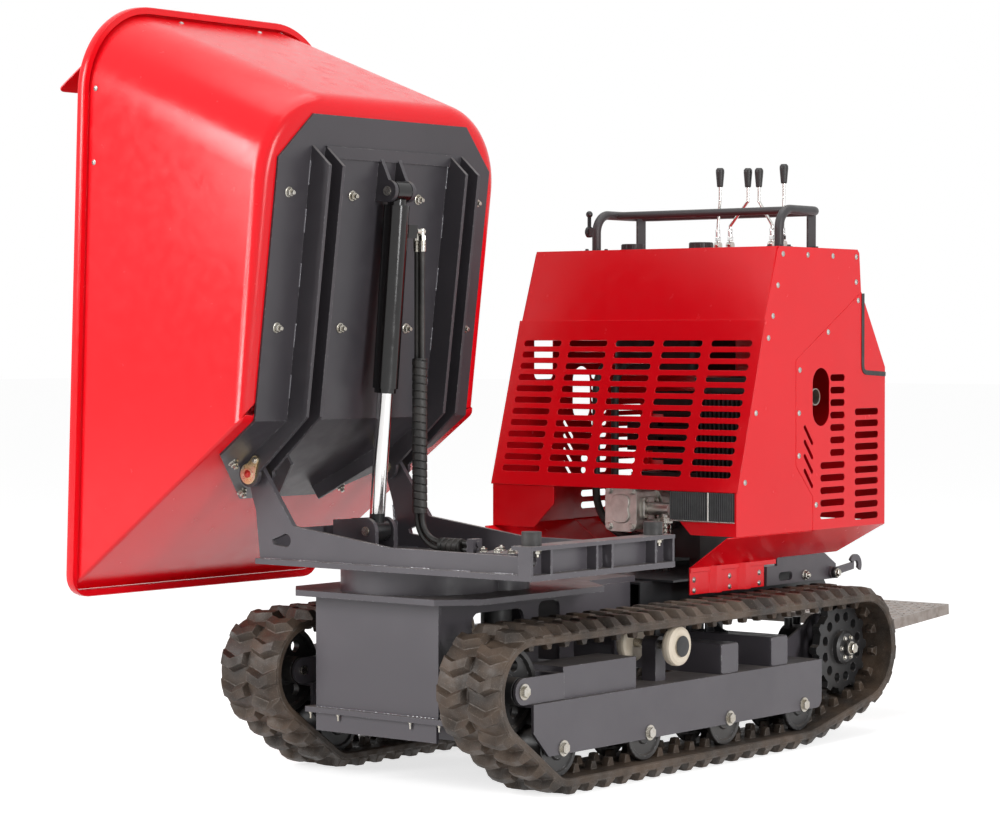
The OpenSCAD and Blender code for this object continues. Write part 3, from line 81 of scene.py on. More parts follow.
class Shader:
    """One material, with short calls for its nodes. Coordinates are the object's own, in metres."""

    def __init__(self, name):
        self.material = bpy.data.materials.new(name)
        self.material.use_nodes = True
        self.nodes = self.material.node_tree.nodes
        self.links = self.material.node_tree.links
        self.surface = self.nodes["Principled BSDF"]
        self.place = self.nodes.new("ShaderNodeTexCoord").outputs["Object"]

    def node(self, kind, settings=None, **inputs):
        made = self.nodes.new(kind)
        for key, value in (settings or {}).items():
            setattr(made, key, value)
        for key, value in inputs.items():
            self.feed(made.inputs[key.replace("_", " ")], value)
        return made

    def feed(self, socket, value):
        if isinstance(value, bpy.types.NodeSocket):
            self.links.new(value, socket)
        else:
            socket.default_value = value

    def set(self, **inputs):
        for key, value in inputs.items():
            self.feed(self.surface.inputs[key.replace("_", " ")], value)
        return self

    def noise(self, scale, detail=3.0, stretch=None):
        vector = self.place
        if stretch:
            vector = self.node("ShaderNodeMapping", Vector=self.place, Scale=stretch).outputs["Vector"]
        return self.node("ShaderNodeTexNoise", Vector=vector, Scale=scale, Detail=detail).outputs["Fac"]

    def span(self, value, low, high, to_low=0.0, to_high=1.0):
        made = self.node("ShaderNodeMapRange", {"interpolation_type": "SMOOTHSTEP"}, Value=value)
        for key, number in (("From Min", low), ("From Max", high), ("To Min", to_low), ("To Max", to_high)):
            made.inputs[key].default_value = number
        return made.outputs["Result"]

    def math(self, operation, a, b=0.5):
        made = self.node("ShaderNodeMath", {"operation": operation})
        self.feed(made.inputs[0], a)
        self.feed(made.inputs[1], b)
        return made.outputs["Value"]

    def mix(self, factor, a, b):
        made = self.node("ShaderNodeMix", {"data_type": "RGBA"})
        self.feed(made.inputs[0], factor)
        self.feed(made.inputs[6], a)
        self.feed(made.inputs[7], b)
        return made.outputs[2]

    def axis(self, name):
        return self.node("ShaderNodeSeparateXYZ", Vector=self.place).outputs[name]

    def upward(self):
        """1 where the surface faces up, 0 where it faces level or down."""
        normal = self.node("ShaderNodeNewGeometry").outputs["Normal"]
        return self.span(self.node("ShaderNodeSeparateXYZ", Vector=normal).outputs["Z"], 0.55, 0.95)

    def edges(self, radius):
        """1 along sharp edges, within about the radius, and 0 on flat faces."""
        rounded = self.node("ShaderNodeBevel", {"samples": 4}, Radius=radius).outputs["Normal"]
        normal = self.node("ShaderNodeNewGeometry").outputs["Normal"]
        dot = self.node("ShaderNodeVectorMath", {"operation": "DOT_PRODUCT"})
        self.links.new(rounded, dot.inputs[0])
        self.links.new(normal, dot.inputs[1])
        return self.span(dot.outputs["Value"], 0.995, 0.9)

    def bump(self, height, distance, strength=1.0, bevel=0.0):
        made = self.node("ShaderNodeBump", Height=height, Distance=distance, Strength=strength)
        if bevel:
            rounded = self.node("ShaderNodeBevel", {"samples": 4}, Radius=bevel)
            self.links.new(rounded.outputs["Normal"], made.inputs["Normal"])
        self.links.new(made.outputs["Normal"], self.surface.inputs["Normal"])
        return self


def rgb(red, green, blue):
    return (red, green, blue, 1.0)


DUST = rgb(0.24, 0.205, 0.18)


def paint(name, colour, deep, rough, peel, dust, wear, bevel=0.0015, shine=0.5, worn=rgb(0.35, 0.35, 0.36)):
    """Sprayed paint: slow change of tone, orange peel, dust on what faces up and wear along edges."""
    s = Shader(name)
    tone = s.mix(s.span(s.noise(3.0), 0.3, 0.7), colour, deep)
    if wear:
        chips = s.math("MULTIPLY", s.edges(0.003), s.span(s.noise(90.0, 5.0), 0.52, 0.66))
        tone = s.mix(s.math("MULTIPLY", chips, wear), tone, worn)
    film = s.span(s.noise(14.0, 6.0), 0.05, 0.85)
    lying = s.math("MULTIPLY", s.math("MULTIPLY", s.upward(), film), dust)
    s.set(Base_Color=s.mix(lying, tone, DUST))
    scuffs = s.span(s.noise(26.0, 6.0), 0.2, 0.9, rough - 0.05, rough + 0.1)
    s.set(Roughness=s.math("ADD", scuffs, s.math("MULTIPLY", lying, 0.4)))
    s.set(Specular_IOR_Level=shine)
    return s.bump(s.noise(peel, 2.0), 0.0004, 0.35, bevel).material


def metal(name, colour, other, rough, grain, bevel=0.0006, stretch=None, dirt=0.15):
    """Bare or plated metal, with a change of tint, rubbed streaks and grime."""
    s = Shader(name)
    tint = s.mix(s.span(s.noise(40.0, 4.0), 0.35, 0.7), colour, other)
    grime = s.math("MULTIPLY", s.span(s.noise(22.0, 6.0), 0.55, 0.8), dirt)
    s.set(Base_Color=s.mix(grime, tint, rgb(0.10, 0.085, 0.07)), Metallic=1.0)
    s.set(Roughness=s.span(s.noise(grain, 4.0, stretch), 0.3, 0.7, rough - 0.06, rough + 0.1))
    return s.bump(s.noise(grain * 2, 2.0, stretch), 0.0002, 0.2, bevel).material


def plastic(name, colour, pale, rough, grain, depth=0.0003, bevel=0.001):
    """Moulded plastic or rubber, with its grain and a little bloom."""
    s = Shader(name)
    bloom = s.span(s.noise(18.0, 6.0), 0.45, 0.8)
    s.set(Base_Color=s.mix(bloom, colour, pale))
    s.set(Roughness=s.span(s.noise(60.0, 4.0), 0.3, 0.7, rough - 0.06, rough + 0.08))
    return s.bump(s.noise(grain, 3.0), depth, 0.4, bevel).material


def track_rubber():
    """Dusty moulded rubber: brown film on the faces, pale along the bars' edges for scuffing and a painted
    highlight.
    """
    s = Shader("track_rubber")
    film = s.span(s.noise(9.0, 8.0), 0.3, 0.72)
    tone = s.mix(film, rgb(0.022, 0.0155, 0.011), rgb(0.088, 0.058, 0.038))
    # Pale along the bars' sharp edges: partly scuffing, partly a painted highlight on the lugs' edges.
    scuff_and_highlight = s.math("MULTIPLY", s.edges(0.004), s.span(s.noise(60.0, 6.0), 0.42, 0.62))
    tone = s.mix(s.math("MULTIPLY", scuff_and_highlight, 0.55), tone, rgb(0.22, 0.19, 0.165))
    speck = s.span(s.noise(420.0, 2.0), 0.62, 0.7)
    s.set(Base_Color=s.mix(s.math("MULTIPLY", speck, 0.35), tone, rgb(0.26, 0.21, 0.17)))
    s.set(Roughness=s.span(s.noise(30.0, 4.0), 0.3, 0.7, 0.44, 0.74))
    grain = s.math("ADD", s.noise(260.0, 6.0), s.math("MULTIPLY", s.noise(38.0, 5.0), 1.6))
    return s.bump(grain, 0.0016, 0.5, 0.003).material


BEAM_TOP, BRACKET_X, BRACKET_T = 316, 292, 8


def rear_frame_paint():
    """Black rails and bed, with the cross beams below BEAM_TOP and the brackets outside BRACKET_X in grey."""
    s = Shader("rear_frame_paint")
    low = s.math("LESS_THAN", s.axis("Z"), (BEAM_TOP + 0.5) * MM)
    off = s.math("ABSOLUTE", s.math("SUBTRACT", s.axis("X"), SLEW.x))
    grey = s.math("MAXIMUM", low, s.math("GREATER_THAN", off, (BRACKET_X + 0.3) * MM))
    tone = s.mix(s.span(s.noise(3.0), 0.3, 0.7), rgb(0.078, 0.071, 0.081), rgb(0.064, 0.058, 0.067))
    s.set(Base_Color=s.mix(grey, rgb(0.015, 0.015, 0.017), tone))
    s.set(Roughness=s.span(s.noise(26.0, 6.0), 0.2, 0.9, 0.30, 0.46))
    return s.bump(s.noise(420.0, 2.0), 0.0004, 0.35, 0.0015).material


def two_tone(name, below, above, axis, height):
    """Two finishes, each (colour, metallic, roughness), below and above a height along an axis, in metres."""
    s = Shader(name)
    upper = s.math("GREATER_THAN", s.axis(axis), height)
    metallic, rough = (s.math("ADD", s.math("MULTIPLY", upper, high - low), low)
                       for low, high in zip(below[1:], above[1:]))
    s.set(Base_Color=s.mix(upper, below[0], above[0]), Metallic=metallic)
    s.set(Roughness=s.math("ADD", rough, s.span(s.noise(50.0, 4.0), 0.3, 0.7, -0.04, 0.06)))
    return s.bump(s.noise(500.0, 2.0), 0.0002, 0.3, 0.0008).material


RED = paint("red_paint", rgb(0.83, 0.004, 0.012), rgb(0.80, 0.003, 0.010), 0.20, 520.0, 0.06, 0.0,
            0.002, 0.36)
# The skip frame's grey, a darker copy of GREY for the skip's shade over it: painted shade.
SHADE_GREY = paint("skip_frame_shaded_grey", rgb(0.056, 0.050, 0.057), rgb(0.044, 0.040, 0.046), 0.36,
                   420.0, 0.5, 0.5)
GREY = paint("grey_paint", rgb(0.092, 0.084, 0.095), rgb(0.074, 0.067, 0.077), 0.34, 420.0, 0.60, 0.7)
BLACK = paint("black_paint", rgb(0.014, 0.014, 0.016), rgb(0.020, 0.019, 0.020), 0.34, 420.0, 0.30, 0.35)
BARREL_BLACK = (rgb(0.007, 0.006, 0.006), 0.0, 0.13)
STEEL = (rgb(0.66, 0.64, 0.58), 1.0, 0.24)
KNOB = (rgb(0.016, 0.015, 0.015), 0.0, 0.42)
LEVER_CHROME = (rgb(0.70, 0.69, 0.66), 1.0, 0.16)
ROD_BLACK = (rgb(0.014, 0.014, 0.015), 0.0, 0.3)
ROD_CHROME = (rgb(0.78, 0.77, 0.76), 1.0, 0.1)
WHEEL = paint("wheel_paint", rgb(0.020, 0.020, 0.021), rgb(0.034, 0.031, 0.029), 0.42, 300.0, 0.45, 0.8)
BAR = paint("bar_paint", rgb(0.030, 0.029, 0.031), rgb(0.040, 0.038, 0.040), 0.46, 700.0, 0.15, 0.6)
ZINC = metal("zinc", rgb(0.50, 0.48, 0.44), rgb(0.40, 0.37, 0.31), 0.28, 300.0, 0.0006, None, 0.5)
SCREW = metal("screw_steel", rgb(0.46, 0.45, 0.43), rgb(0.36, 0.34, 0.32), 0.34, 300.0, 0.0006, None, 0.4)
GOLD_ZINC = metal("gold_zinc", rgb(0.72, 0.56, 0.30), rgb(0.66, 0.60, 0.46), 0.30, 240.0)
CHROME = metal("chrome", rgb(0.80, 0.79, 0.78), rgb(0.74, 0.73, 0.72), 0.10, 90.0, 0.0006,
               (40.0, 40.0, 1.0), 0.03)
ALLOY = metal("cast_alloy", rgb(0.68, 0.66, 0.62), rgb(0.56, 0.54, 0.50), 0.40, 500.0, 0.002, None, 0.12)
PLATE = metal("tread_plate", rgb(0.33, 0.29, 0.265), rgb(0.25, 0.21, 0.185), 0.40, 160.0, 0.0008,
              (1.0, 6.0, 1.0), 0.6)
EXHAUST = metal("exhaust", rgb(0.40, 0.37, 0.34), rgb(0.30, 0.22, 0.17), 0.48, 120.0, 0.002, None, 0.4)
NYLON = plastic("nylon", rgb(0.76, 0.67, 0.54), rgb(0.66, 0.56, 0.43), 0.46, 300.0)
PLASTIC = plastic("black_plastic", rgb(0.014, 0.014, 0.015), rgb(0.030, 0.029, 0.029), 0.44, 900.0)
HOSE = plastic("hose_rubber", rgb(0.016, 0.015, 0.014), rgb(0.045, 0.040, 0.036), 0.50, 700.0)
BUFFER = plastic("buffer_rubber", rgb(0.024, 0.023, 0.023), rgb(0.050, 0.047, 0.045), 0.56, 500.0)
ENGINE = paint("engine_paint", rgb(0.022, 0.022, 0.023), rgb(0.034, 0.033, 0.033), 0.46, 260.0, 0.35, 0.3)
TRACK = track_rubber()
# Weld beads in a lighter grey than the frame's paint, for the glints on their ripples: painted highlight.
WELD_PAINTED_HIGHLIGHT = paint("weld_painted_highlight", rgb(0.17, 0.16, 0.18), rgb(0.10, 0.095, 0.11), 0.16, 200.0, 0.0, 0.0, 0.0, 0.9)
RED_CAP = plastic("red_cap", rgb(0.62, 0.03, 0.02), rgb(0.5, 0.02, 0.015), 0.4, 300.0)

# Where the knobs and the rod's chrome start, going up, and the barrel's elbows, along +Y, in millimetres
KNOB_Z = {"lever_1": 1567, "lever_2": 1563, "lever_3": 1562, "lever_4": 1570}
ROD_Z, ELBOW_Y = 676, 62
FINISH = {"red_paint": RED, "grey_paint": GREY, "black_paint": BLACK, "track_rubber": TRACK,
          "buffer_rubber": BUFFER, "hose_rubber": HOSE, "wheel_steel": WHEEL, "zinc": ZINC,
          "gold_zinc": GOLD_ZINC, "chrome": CHROME, "nylon": NYLON, "cast_alloy": ALLOY,
          "engine_alloy": ENGINE, "black_plastic": PLASTIC, "tread_plate": PLATE}
OWN_FINISH = {"handlebar": BAR, "muffler": EXHAUST, "skip_frame": SHADE_GREY,
              "rear_frame": rear_frame_paint(),
              "cylinder_rod": two_tone("rod_finish", ROD_BLACK, ROD_CHROME, "Z", ROD_Z * MM),
              "cylinder_barrel": two_tone("barrel_paint", BARREL_BLACK, STEEL, "Y", at(0, ELBOW_Y, 0).y)}
for lever, knob_z in KNOB_Z.items():
    OWN_FINISH[lever] = two_tone(lever + "_finish", LEVER_CHROME, KNOB, "Z", (knob_z - 0.5) * MM)
for part in frame["record"]["subparts"]:
    cad = frame["nodes"][part["node"]]
    cad.data.materials.clear()
    cad.data.materials.append(OWN_FINISH.get(part["node"]) or FINISH[part["material_slot"]])


# Mesh building

def piece(name, mesh, material, body, smooth=30):
    """Makes an object of a bmesh, with its finish, and rides it on a body."""
    bmesh.ops.recalc_face_normals(mesh, faces=mesh.faces)
    data = bpy.data.meshes.new(name)
    mesh.to_mesh(data)
    mesh.free()
    for face in data.polygons:
        face.use_smooth = True
    data.set_sharp_from_angle(angle=math.radians(smooth))
    data.materials.append(material)
    made = bpy.data.objects.new(name, data)
    bpy.context.scene.collection.objects.link(made)
    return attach(made, body) if body else made


def lathe(mesh, matrix, profile, sides=20, turn=0.0):
    """Adds a closed form spun about the matrix's +Z from (radius, height) points, in millimetres."""
    rings = []
    for radius, height in profile:
        if radius == 0:
            rings.append([mesh.verts.new(matrix @ Vector((0, 0, height * MM)))])
            continue
        ring = []
        for k in range(sides):
            angle = turn + 2 * math.pi * k / sides
            spot = Vector((radius * math.cos(angle), radius * math.sin(angle), height))
            ring.append(mesh.verts.new(matrix @ (spot * MM)))
        rings.append(ring)
    for low, high in zip(rings, rings[1:]):
        for k in range(sides):
            n = (k + 1) % sides
            corners = [low[k % len(low)], low[n % len(low)], high[n % len(high)], high[k % len(high)]]
            unique = list(dict.fromkeys(corners))
            if len(unique) > 2:
                mesh.faces.new(unique)


def skin(mesh, rings):
    """Adds the faces between each ring of vertices and the next."""
    for low, high in zip(rings, rings[1:]):
        for k in range(len(low)):
            n = (k + 1) % len(low)
            mesh.faces.new((low[k], low[n], high[n], high[k]))


def sections(mesh, rings):
    """Adds a solid through rings of places, with flat ends."""
    made = [[mesh.verts.new(spot) for spot in ring] for ring in rings]
    skin(mesh, made)
    mesh.faces.new(made[0][::-1])
    mesh.faces.new(made[-1])


def stacked(mesh, matrix, plan, levels):
    """Adds a solid with a plan repeated at each (scale, height), in millimetres along the matrix's +Z."""
    sections(mesh, [[matrix @ (Vector((spot.x * scale, spot.y * scale, height)) * MM) for spot in plan]
                    for scale, height in levels])


def polar(reach, count, start=0.0):
    """A round plan of count places, with reach(angle) as the radius."""
    angles = [2 * math.pi * (k + start) / count for k in range(count)]
    return [Vector((math.cos(angle), math.sin(angle))) * reach(angle) for angle in angles]


def tube(mesh, path, radius, sides=12, swell=None):
    """Adds a capped tube along points. swell(i, k) scales the radius at point i and side k."""
    rings = []
    side = None
    for i, spot in enumerate(path):
        ahead = (path[min(i + 1, len(path) - 1)] - path[max(i - 1, 0)]).normalized()
        if side is None:
            side = ahead.orthogonal().normalized()
        side = (side - ahead * side.dot(ahead)).normalized()
        other = ahead.cross(side)
        ring = []
        for k in range(sides):
            angle = 2 * math.pi * k / sides
            reach = radius * (swell(i, k) if swell else 1.0)
            ring.append(spot + (side * math.cos(angle) + other * math.sin(angle)) * reach)
        rings.append(ring)
    sections(mesh, rings)


def line(a, b, steps):
    """Places from a to b, in equal steps."""
    return [a.lerp(b, i / steps) for i in range(steps + 1)]


def rounded(corners, radius, steps=6):
    """A path through corners, with each inner corner rounded."""
    places = [corners[0]]
    for before, corner, after in zip(corners, corners[1:], corners[2:]):
        a = corner + (before - corner).normalized() * radius
        b = corner + (after - corner).normalized() * radius
        for k in range(steps + 1):
            t = k / steps
            places.append(a * (1 - t) ** 2 + corner * 2 * t * (1 - t) + b * t ** 2)
    return places + [corners[-1]]


def rounded_loop(corners, radius):
    """A closed path with all of its corners rounded."""
    return rounded(corners[-1:] + corners + corners[:1], radius)[1:-1]


def length_of(path):
    """Length along a path of places."""
    return sum((b - a).length for a, b in zip(path, path[1:]))


# Fasteners

# Profiles in shares of the thread's size
HEX_WASHER = ((0, 0), (1.15, 0), (1.15, 0.16), (1.05, 0.22), (0.6, 0.22), (0, 0.22))
HEX_HEAD = ((0, 0.2), (0.84, 0.2), (0.92, 0.28), (0.92, 0.78), (0.80, 0.88), (0, 0.88))


def hex_bolt(mesh, matrix, size, stud=0.0):
    """Washer and chamfered hexagon, with the end of a stud through it, for a thread of that size."""
    for profile, sides, turn in ((HEX_WASHER, 24, 0.0), (HEX_HEAD, 6, 0.2)):
        lathe(mesh, matrix, [(size * a, size * b) for a, b in profile], sides, turn)
    if stud:
        low, top = size * 0.88 - 0.5, size * 0.88 + stud
        lathe(mesh, matrix, [(0, low), (size * 0.48, low), (size * 0.48, top - size * 0.1),
                             (size * 0.38, top), (0, top)], 14)


def button_screw(mesh, matrix, size):
    """Flanged button head with a hexagon socket."""
    lathe(mesh, matrix, [(0, -0.4), (size * 1.1, -0.4), (size * 1.1, size * 0.1), (size * 0.9, size * 0.16),
                         (size * 0.82, size * 0.34), (size * 0.6, size * 0.5), (size * 0.4, size * 0.54),
                         (size * 0.36, size * 0.2), (0, size * 0.2)], 24)


def set_of(name, stamp, matrices, material, body, slot, **options):
    """Makes one piece of copies of a stamp, one at each matrix."""
    mesh = bmesh.new()
    for matrix in matrices:
        stamp(mesh, matrix, **options)
    return piece(name, mesh, material, body)


def bolts(name, matrices, body, size, stud=0.0):
    """Makes one piece of zinc-plated bolt heads or nuts, one at each matrix."""
    set_of(name, hex_bolt, matrices, ZINC, body, "zinc", size=size, stud=stud)


# Levels of the drawing that the pieces sit on, in millimetres. SKIP_LINE is the skip's side view, from its
# lip down the slope, along the floor and up to the rear rim.
SKIP_LINE = [Vector((-690, 1231)), Vector((-165, 677)), Vector((647, 677)), Vector((813, 1360))]
SHEET_T = 6
SHEET_Z = SKIP_LINE[1].y - SHEET_T
TOP_Z = 1380
BASE_TOP = 570

# Nuts and stud ends under the skip, as (x, y) on the floor and (length up the slope, y) on its tapered sheet
FLOOR_NUTS = [(x, y) for x in (67, 404) for y in (128, 363)]
SLOPE_NUTS = [(178, 338), (318, 190)]
SLOPE = (SKIP_LINE[0] - SKIP_LINE[1]).normalized()
SLOPE_OUT = Vector((-SLOPE.y, SLOPE.x))
nuts = []
for side in (-1, 1):
    for x, y in FLOOR_NUTS:
        nuts.append(RAISE @ facing(at(x, side * y, SHEET_Z), (0, 0, -1)))
    for along, y in SLOPE_NUTS:
        foot = SKIP_LINE[1] + SLOPE * along + SLOPE_OUT * SHEET_T
        nuts.append(RAISE @ facing(at(foot.x, side * y, foot.y), (SLOPE_OUT.x, 0, SLOPE_OUT.y)))
bolts("skip_nuts", nuts, "skip_body", 12.0, 9.0)

# Screws of the hood's sides, as (y, z) on each outer face
PANEL_X, COVER_X, SKIRT_X = 419, 420, 295
PANEL_SCREWS = [(1036, 1359), (1161, 1359), (1290, 1359), (1413, 1359), (1413, 1288), (1011, 1273),
                (987, 1189), (965, 1129), (905, 926), (853, 740)]
COVER_SCREWS = [(1423, 1236), (1265, 1146), (1120, 1041), (1117, 922), (1117, 804), (1205, 665)]
SKIRT_SCREWS = [(y, z) for y in (792, 962, 1108) for z in (447, 476)]
screws = []
for x, places in ((PANEL_X, PANEL_SCREWS), (COVER_X, COVER_SCREWS), (SKIRT_X, SKIRT_SCREWS)):
    for y, z in places:
        for side in (-1, 1):
            screws.append(facing(at(side * x, y, z), (side, 0, 0)))
set_of("hood_screws", button_screw, screws, SCREW, "carriage", "zinc", size=7.0)

# Bolt heads on the tip frame's plate, the tip pivots' keepers and the rear brackets
PAD_TOP, PAD_XS, PAD_YS = 586, (148, 194, 240), (71, 143)
slew_bolts = [facing(at(x, y, PAD_TOP), (0, 0, 1), 0.01 * x) for x in PAD_XS for y in PAD_YS]
bolts("slew_bolts", slew_bolts, "slew_deck", 11.0, 4.0)
PIN_X, PIN_Z, KEEPER_Y = -320, 784, 300
keeper_bolts = [RAISE @ facing(at(PIN_X + 38, side * KEEPER_Y, PIN_Z - 20), (0, side, 0)) for side in (-1, 1)]
bolts("keeper_bolts", keeper_bolts, "skip_body", 7.0)


def grease_cap(mesh, matrix):
    """Round plug with a washer, over a grease nipple."""
    lathe(mesh, matrix, [(0, 0), (10, 0), (10, 1.2), (6.5, 1.6), (6.2, 3.6), (4.2, 5.4), (2.2, 6.2),
                         (0, 6.4)], 24)


grease_caps = [RAISE @ facing(at(PIN_X, side * (KEEPER_Y + 1), PIN_Z), (0, side, 0)) for side in (-1, 1)]
set_of("grease_caps", grease_cap, grease_caps, RED_CAP, "skip_body", "red_paint")
bracket_bolts = [facing(at(side * (BRACKET_X + BRACKET_T), 1336, 455), (side, 0, 0), 0.3) for side in (-1, 1)]
bolts("bracket_bolts", bracket_bolts, "carriage", 13.0, 6.0)


# Hoses of the tip cylinder, on the drawing's route

HOSE_X, HOSE_Y, HOSE_GAP, HOSE_R = -75, 85, 8.2, 7.5
HOSE_TOP, HOSE_Z, HOSE_BEND, UNION_X = 1381, BASE_TOP + 26, 70, 86


def hose_route(offset):
    """Places down from the elbows, round the bend and along the plate, offset across the pair."""
    bend_x, bend_z = HOSE_X + HOSE_BEND, HOSE_Z + HOSE_BEND
    places = line(at(HOSE_X + offset, HOSE_Y, HOSE_TOP), at(HOSE_X + offset, HOSE_Y, bend_z), 40)
    reach = HOSE_BEND - offset
    for k in range(1, 17):
        angle = math.radians(180 + 90 * k / 16)
        places.append(at(bend_x + reach * math.cos(angle), HOSE_Y, bend_z + reach * math.sin(angle)))
    return places + line(places[-1], at(UNION_X, HOSE_Y, HOSE_Z + offset), 8)[1:]


# The two hoses, one each side of the route's middle
for number, offset in enumerate((-HOSE_GAP, HOSE_GAP), 1):
    route = hose_route(offset)
    hose_mesh = bmesh.new()
    tube(hose_mesh, route, HOSE_R * MM, 16)
    hose = piece("tip_hose_%d" % number, hose_mesh, HOSE, None)
    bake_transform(hose)
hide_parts("tip_hoses")


def spiral_guard(mesh, path, radius, pitch, groove=0.13):
    """A strip wound closely round the path: a tube with a helical groove where its turns meet."""
    sides = 28
    step = length_of(path) / (len(path) - 1)

    def swell(i, k):
        phase = (i * step / pitch + k / sides) % 1.0
        edge = min(phase, 1.0 - phase)
        lap = 1.0 + 0.03 * phase
        return lap * (1.0 - groove * max(0.0, 1.0 - edge / 0.09))
    tube(mesh, path, radius, sides, swell)


SLEEVE_R, SLEEVE_Z, SLEEVE_X = 19.4, (1076, 676), (-1, 69)
guard_mesh = bmesh.new()
upright = line(at(HOSE_X, HOSE_Y, SLEEVE_Z[0]), at(HOSE_X, HOSE_Y, SLEEVE_Z[1]), 320)
lying = line(at(SLEEVE_X[0], HOSE_Y, HOSE_Z), at(SLEEVE_X[1], HOSE_Y, HOSE_Z), 56)
for path, pitch in ((upright, 20), (lying, 17.5)):
    spiral_guard(guard_mesh, path, SLEEVE_R * MM, pitch * MM)
guard = piece("hose_guard", guard_mesh, HOSE, None)
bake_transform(guard)


def hose_end(mesh, matrix):
    """Crimped sleeve under a union nut, at the top of a hose."""
    lathe(mesh, matrix, [(0, -34), (8.6, -34), (9.4, -32), (9.4, -26), (8.8, -25), (9.4, -24), (9.4, -17),
                         (8.8, -16), (9.4, -15), (9.4, -8), (8.2, -6), (0, -6)], 20)
    lathe(mesh, matrix, [(0, -6), (9.0, -6), (9.8, -5), (9.8, 7), (9.0, 8), (0, 8)], 6, 0.4)


END_GAP = HOSE_GAP + 1.2
hose_ends = [facing(at(HOSE_X + offset, HOSE_Y, HOSE_TOP + 4), (0, 0, 1), 0.3 * offset)
             for offset in (-END_GAP, END_GAP)]
set_of("hose_ends", hose_end, hose_ends, ZINC, "tip_barrel", "zinc")


# Pump: its cover, ports and three hoses, on the drawing's routes

PUMP_X, PUMP_Y, PUMP_Z, COVER_Y = -20, 945, 653, 886
cover_bolts = [facing(at(PUMP_X + dx, COVER_Y, PUMP_Z + dz), (0, -1, 0), 0.02 * dx + 0.01 * dz)
               for dx in (-39, 39) for dz in (-50, 50)]
set_of("pump_bolts", hex_bolt, cover_bolts, ALLOY, "carriage", "zinc", size=10.0)


def cover_pad(mesh, matrix):
    """Raised pad on the pump's end cover, waisted between its bolts."""
    plan = polar(lambda angle: 37 - 7 * math.cos(2 * angle) - 3.5 * math.cos(4 * angle), 64)
    stacked(mesh, matrix, plan, ((1.0, -0.5), (1.0, 3.0), (0.95, 4.5)))


cover = facing(at(PUMP_X, COVER_Y, PUMP_Z), (0, -1, 0))
set_of("pump_pad", cover_pad, [cover], ALLOY, "carriage", "cast_alloy")


def port_union(mesh, matrix):
    """Union nut over the elbow, crimped sleeve under it, towards the hose along +Z."""
    lathe(mesh, matrix, [(0, -26), (15.5, -26), (17.5, -24), (17.5, -8), (15.5, -6), (0, -6)], 6, 0.3)
    lathe(mesh, matrix, [(0, -6), (12.6, -6), (13.6, -4), (13.6, 6), (12.8, 8), (13.6, 10), (13.6, 18),
                         (12.8, 20), (13.6, 22), (13.6, 30), (12.2, 33), (11.1, 33)], 28)


FLANGE_HW, FLANGE_CORNER, FLANGE_T, FLANGE_BOLT = 33, 40, 12, 23


def port_flange(mesh, matrix):
    """Square flange of a port, on the pump's side, with round corners."""

    def reach(angle):
        return min(FLANGE_HW / max(abs(math.cos(angle)), abs(math.sin(angle))), FLANGE_CORNER)

    stacked(mesh, matrix, polar(reach, 32, 0.5), ((1.0, 0), (1.0, FLANGE_T - 2), (0.95, FLANGE_T)))


PUMP_HW = 50
sides = [facing(at(PUMP_X + way * PUMP_HW, PUMP_Y, PUMP_Z), (way, 0, 0)) for way in (-1, 1)]
set_of("port_flanges", port_flange, sides, ALLOY, "carriage", "cast_alloy")
flange_bolts = []
for side in sides:
    for a in (-FLANGE_BOLT, FLANGE_BOLT):
        for b in (-FLANGE_BOLT, FLANGE_BOLT):
            flange_bolts.append(side @ Matrix.Translation(Vector((a, b, FLANGE_T)) * MM))
bolts("flange_bolts", flange_bolts, "carriage", 7.0)

SUCTION_X, RETURN_X, PRESSURE_X = -84, -150, 94
LINE_R, LINE_BEND, LINE_Z = 11, 88, 1065
RETURN_Z, RETURN_BEND, UNION_END = 570, 130, 40
TANK_Y, BED_Z = 1060, 480
SUCTION_Z, PRESSURE_Z, SEAT = 700, 606, 8


def arc(centre, a, b, steps=14):
    """Places round a centre, from it plus a to it plus b, in millimetres."""
    spots = []
    for k in range(1, steps + 1):
        t = math.pi / 2 * k / steps
        spot = Vector(centre) + Vector(a) * math.cos(t) + Vector(b) * math.sin(t)
        spots.append(at(*spot))
    return spots


def riser(x, z):
    """A hose's way up at x from z, then back into the tank."""
    high = LINE_Z - LINE_BEND
    places = line(at(x, PUMP_Y, z), at(x, PUMP_Y, high), 20)
    places += arc((x, PUMP_Y + LINE_BEND, high), (0, -LINE_BEND, 0), (0, 0, LINE_BEND))
    return places + [at(x, TANK_Y, LINE_Z)]


turn_x, turn_z = RETURN_X + RETURN_BEND, RETURN_Z + RETURN_BEND
return_way = line(at(UNION_END, PUMP_Y, RETURN_Z), at(turn_x, PUMP_Y, RETURN_Z), 6)
return_way += arc((turn_x, PUMP_Y, turn_z), (0, 0, -RETURN_BEND), (-RETURN_BEND, 0, 0))
return_way += riser(RETURN_X, turn_z)[1:]
pressure_way = line(at(PRESSURE_X, PUMP_Y, PRESSURE_Z + SEAT), at(PRESSURE_X, PUMP_Y, BED_Z), 10)
pump_ways = {"suction_hose": riser(SUCTION_X, SUCTION_Z), "return_hose": return_way,
             "pressure_hose": pressure_way}
for name, way in pump_ways.items():
    mesh = bmesh.new()
    tube(mesh, way, LINE_R * MM, 20)
    made = piece(name, mesh, HOSE, "carriage")
    if name == "suction_hose":
        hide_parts("pump_hoses")
unions = [facing(at(SUCTION_X, PUMP_Y, SUCTION_Z), (0, 0, 1)),
          facing(at(PRESSURE_X, PUMP_Y, PRESSURE_Z), (0, 0, -1)),
          facing(at(UNION_END, PUMP_Y, RETURN_Z), (-1, 0, 0))]
set_of("port_unions", port_union, unions, ZINC, "carriage", "zinc")


# Rubber edging along the hood's rear seams

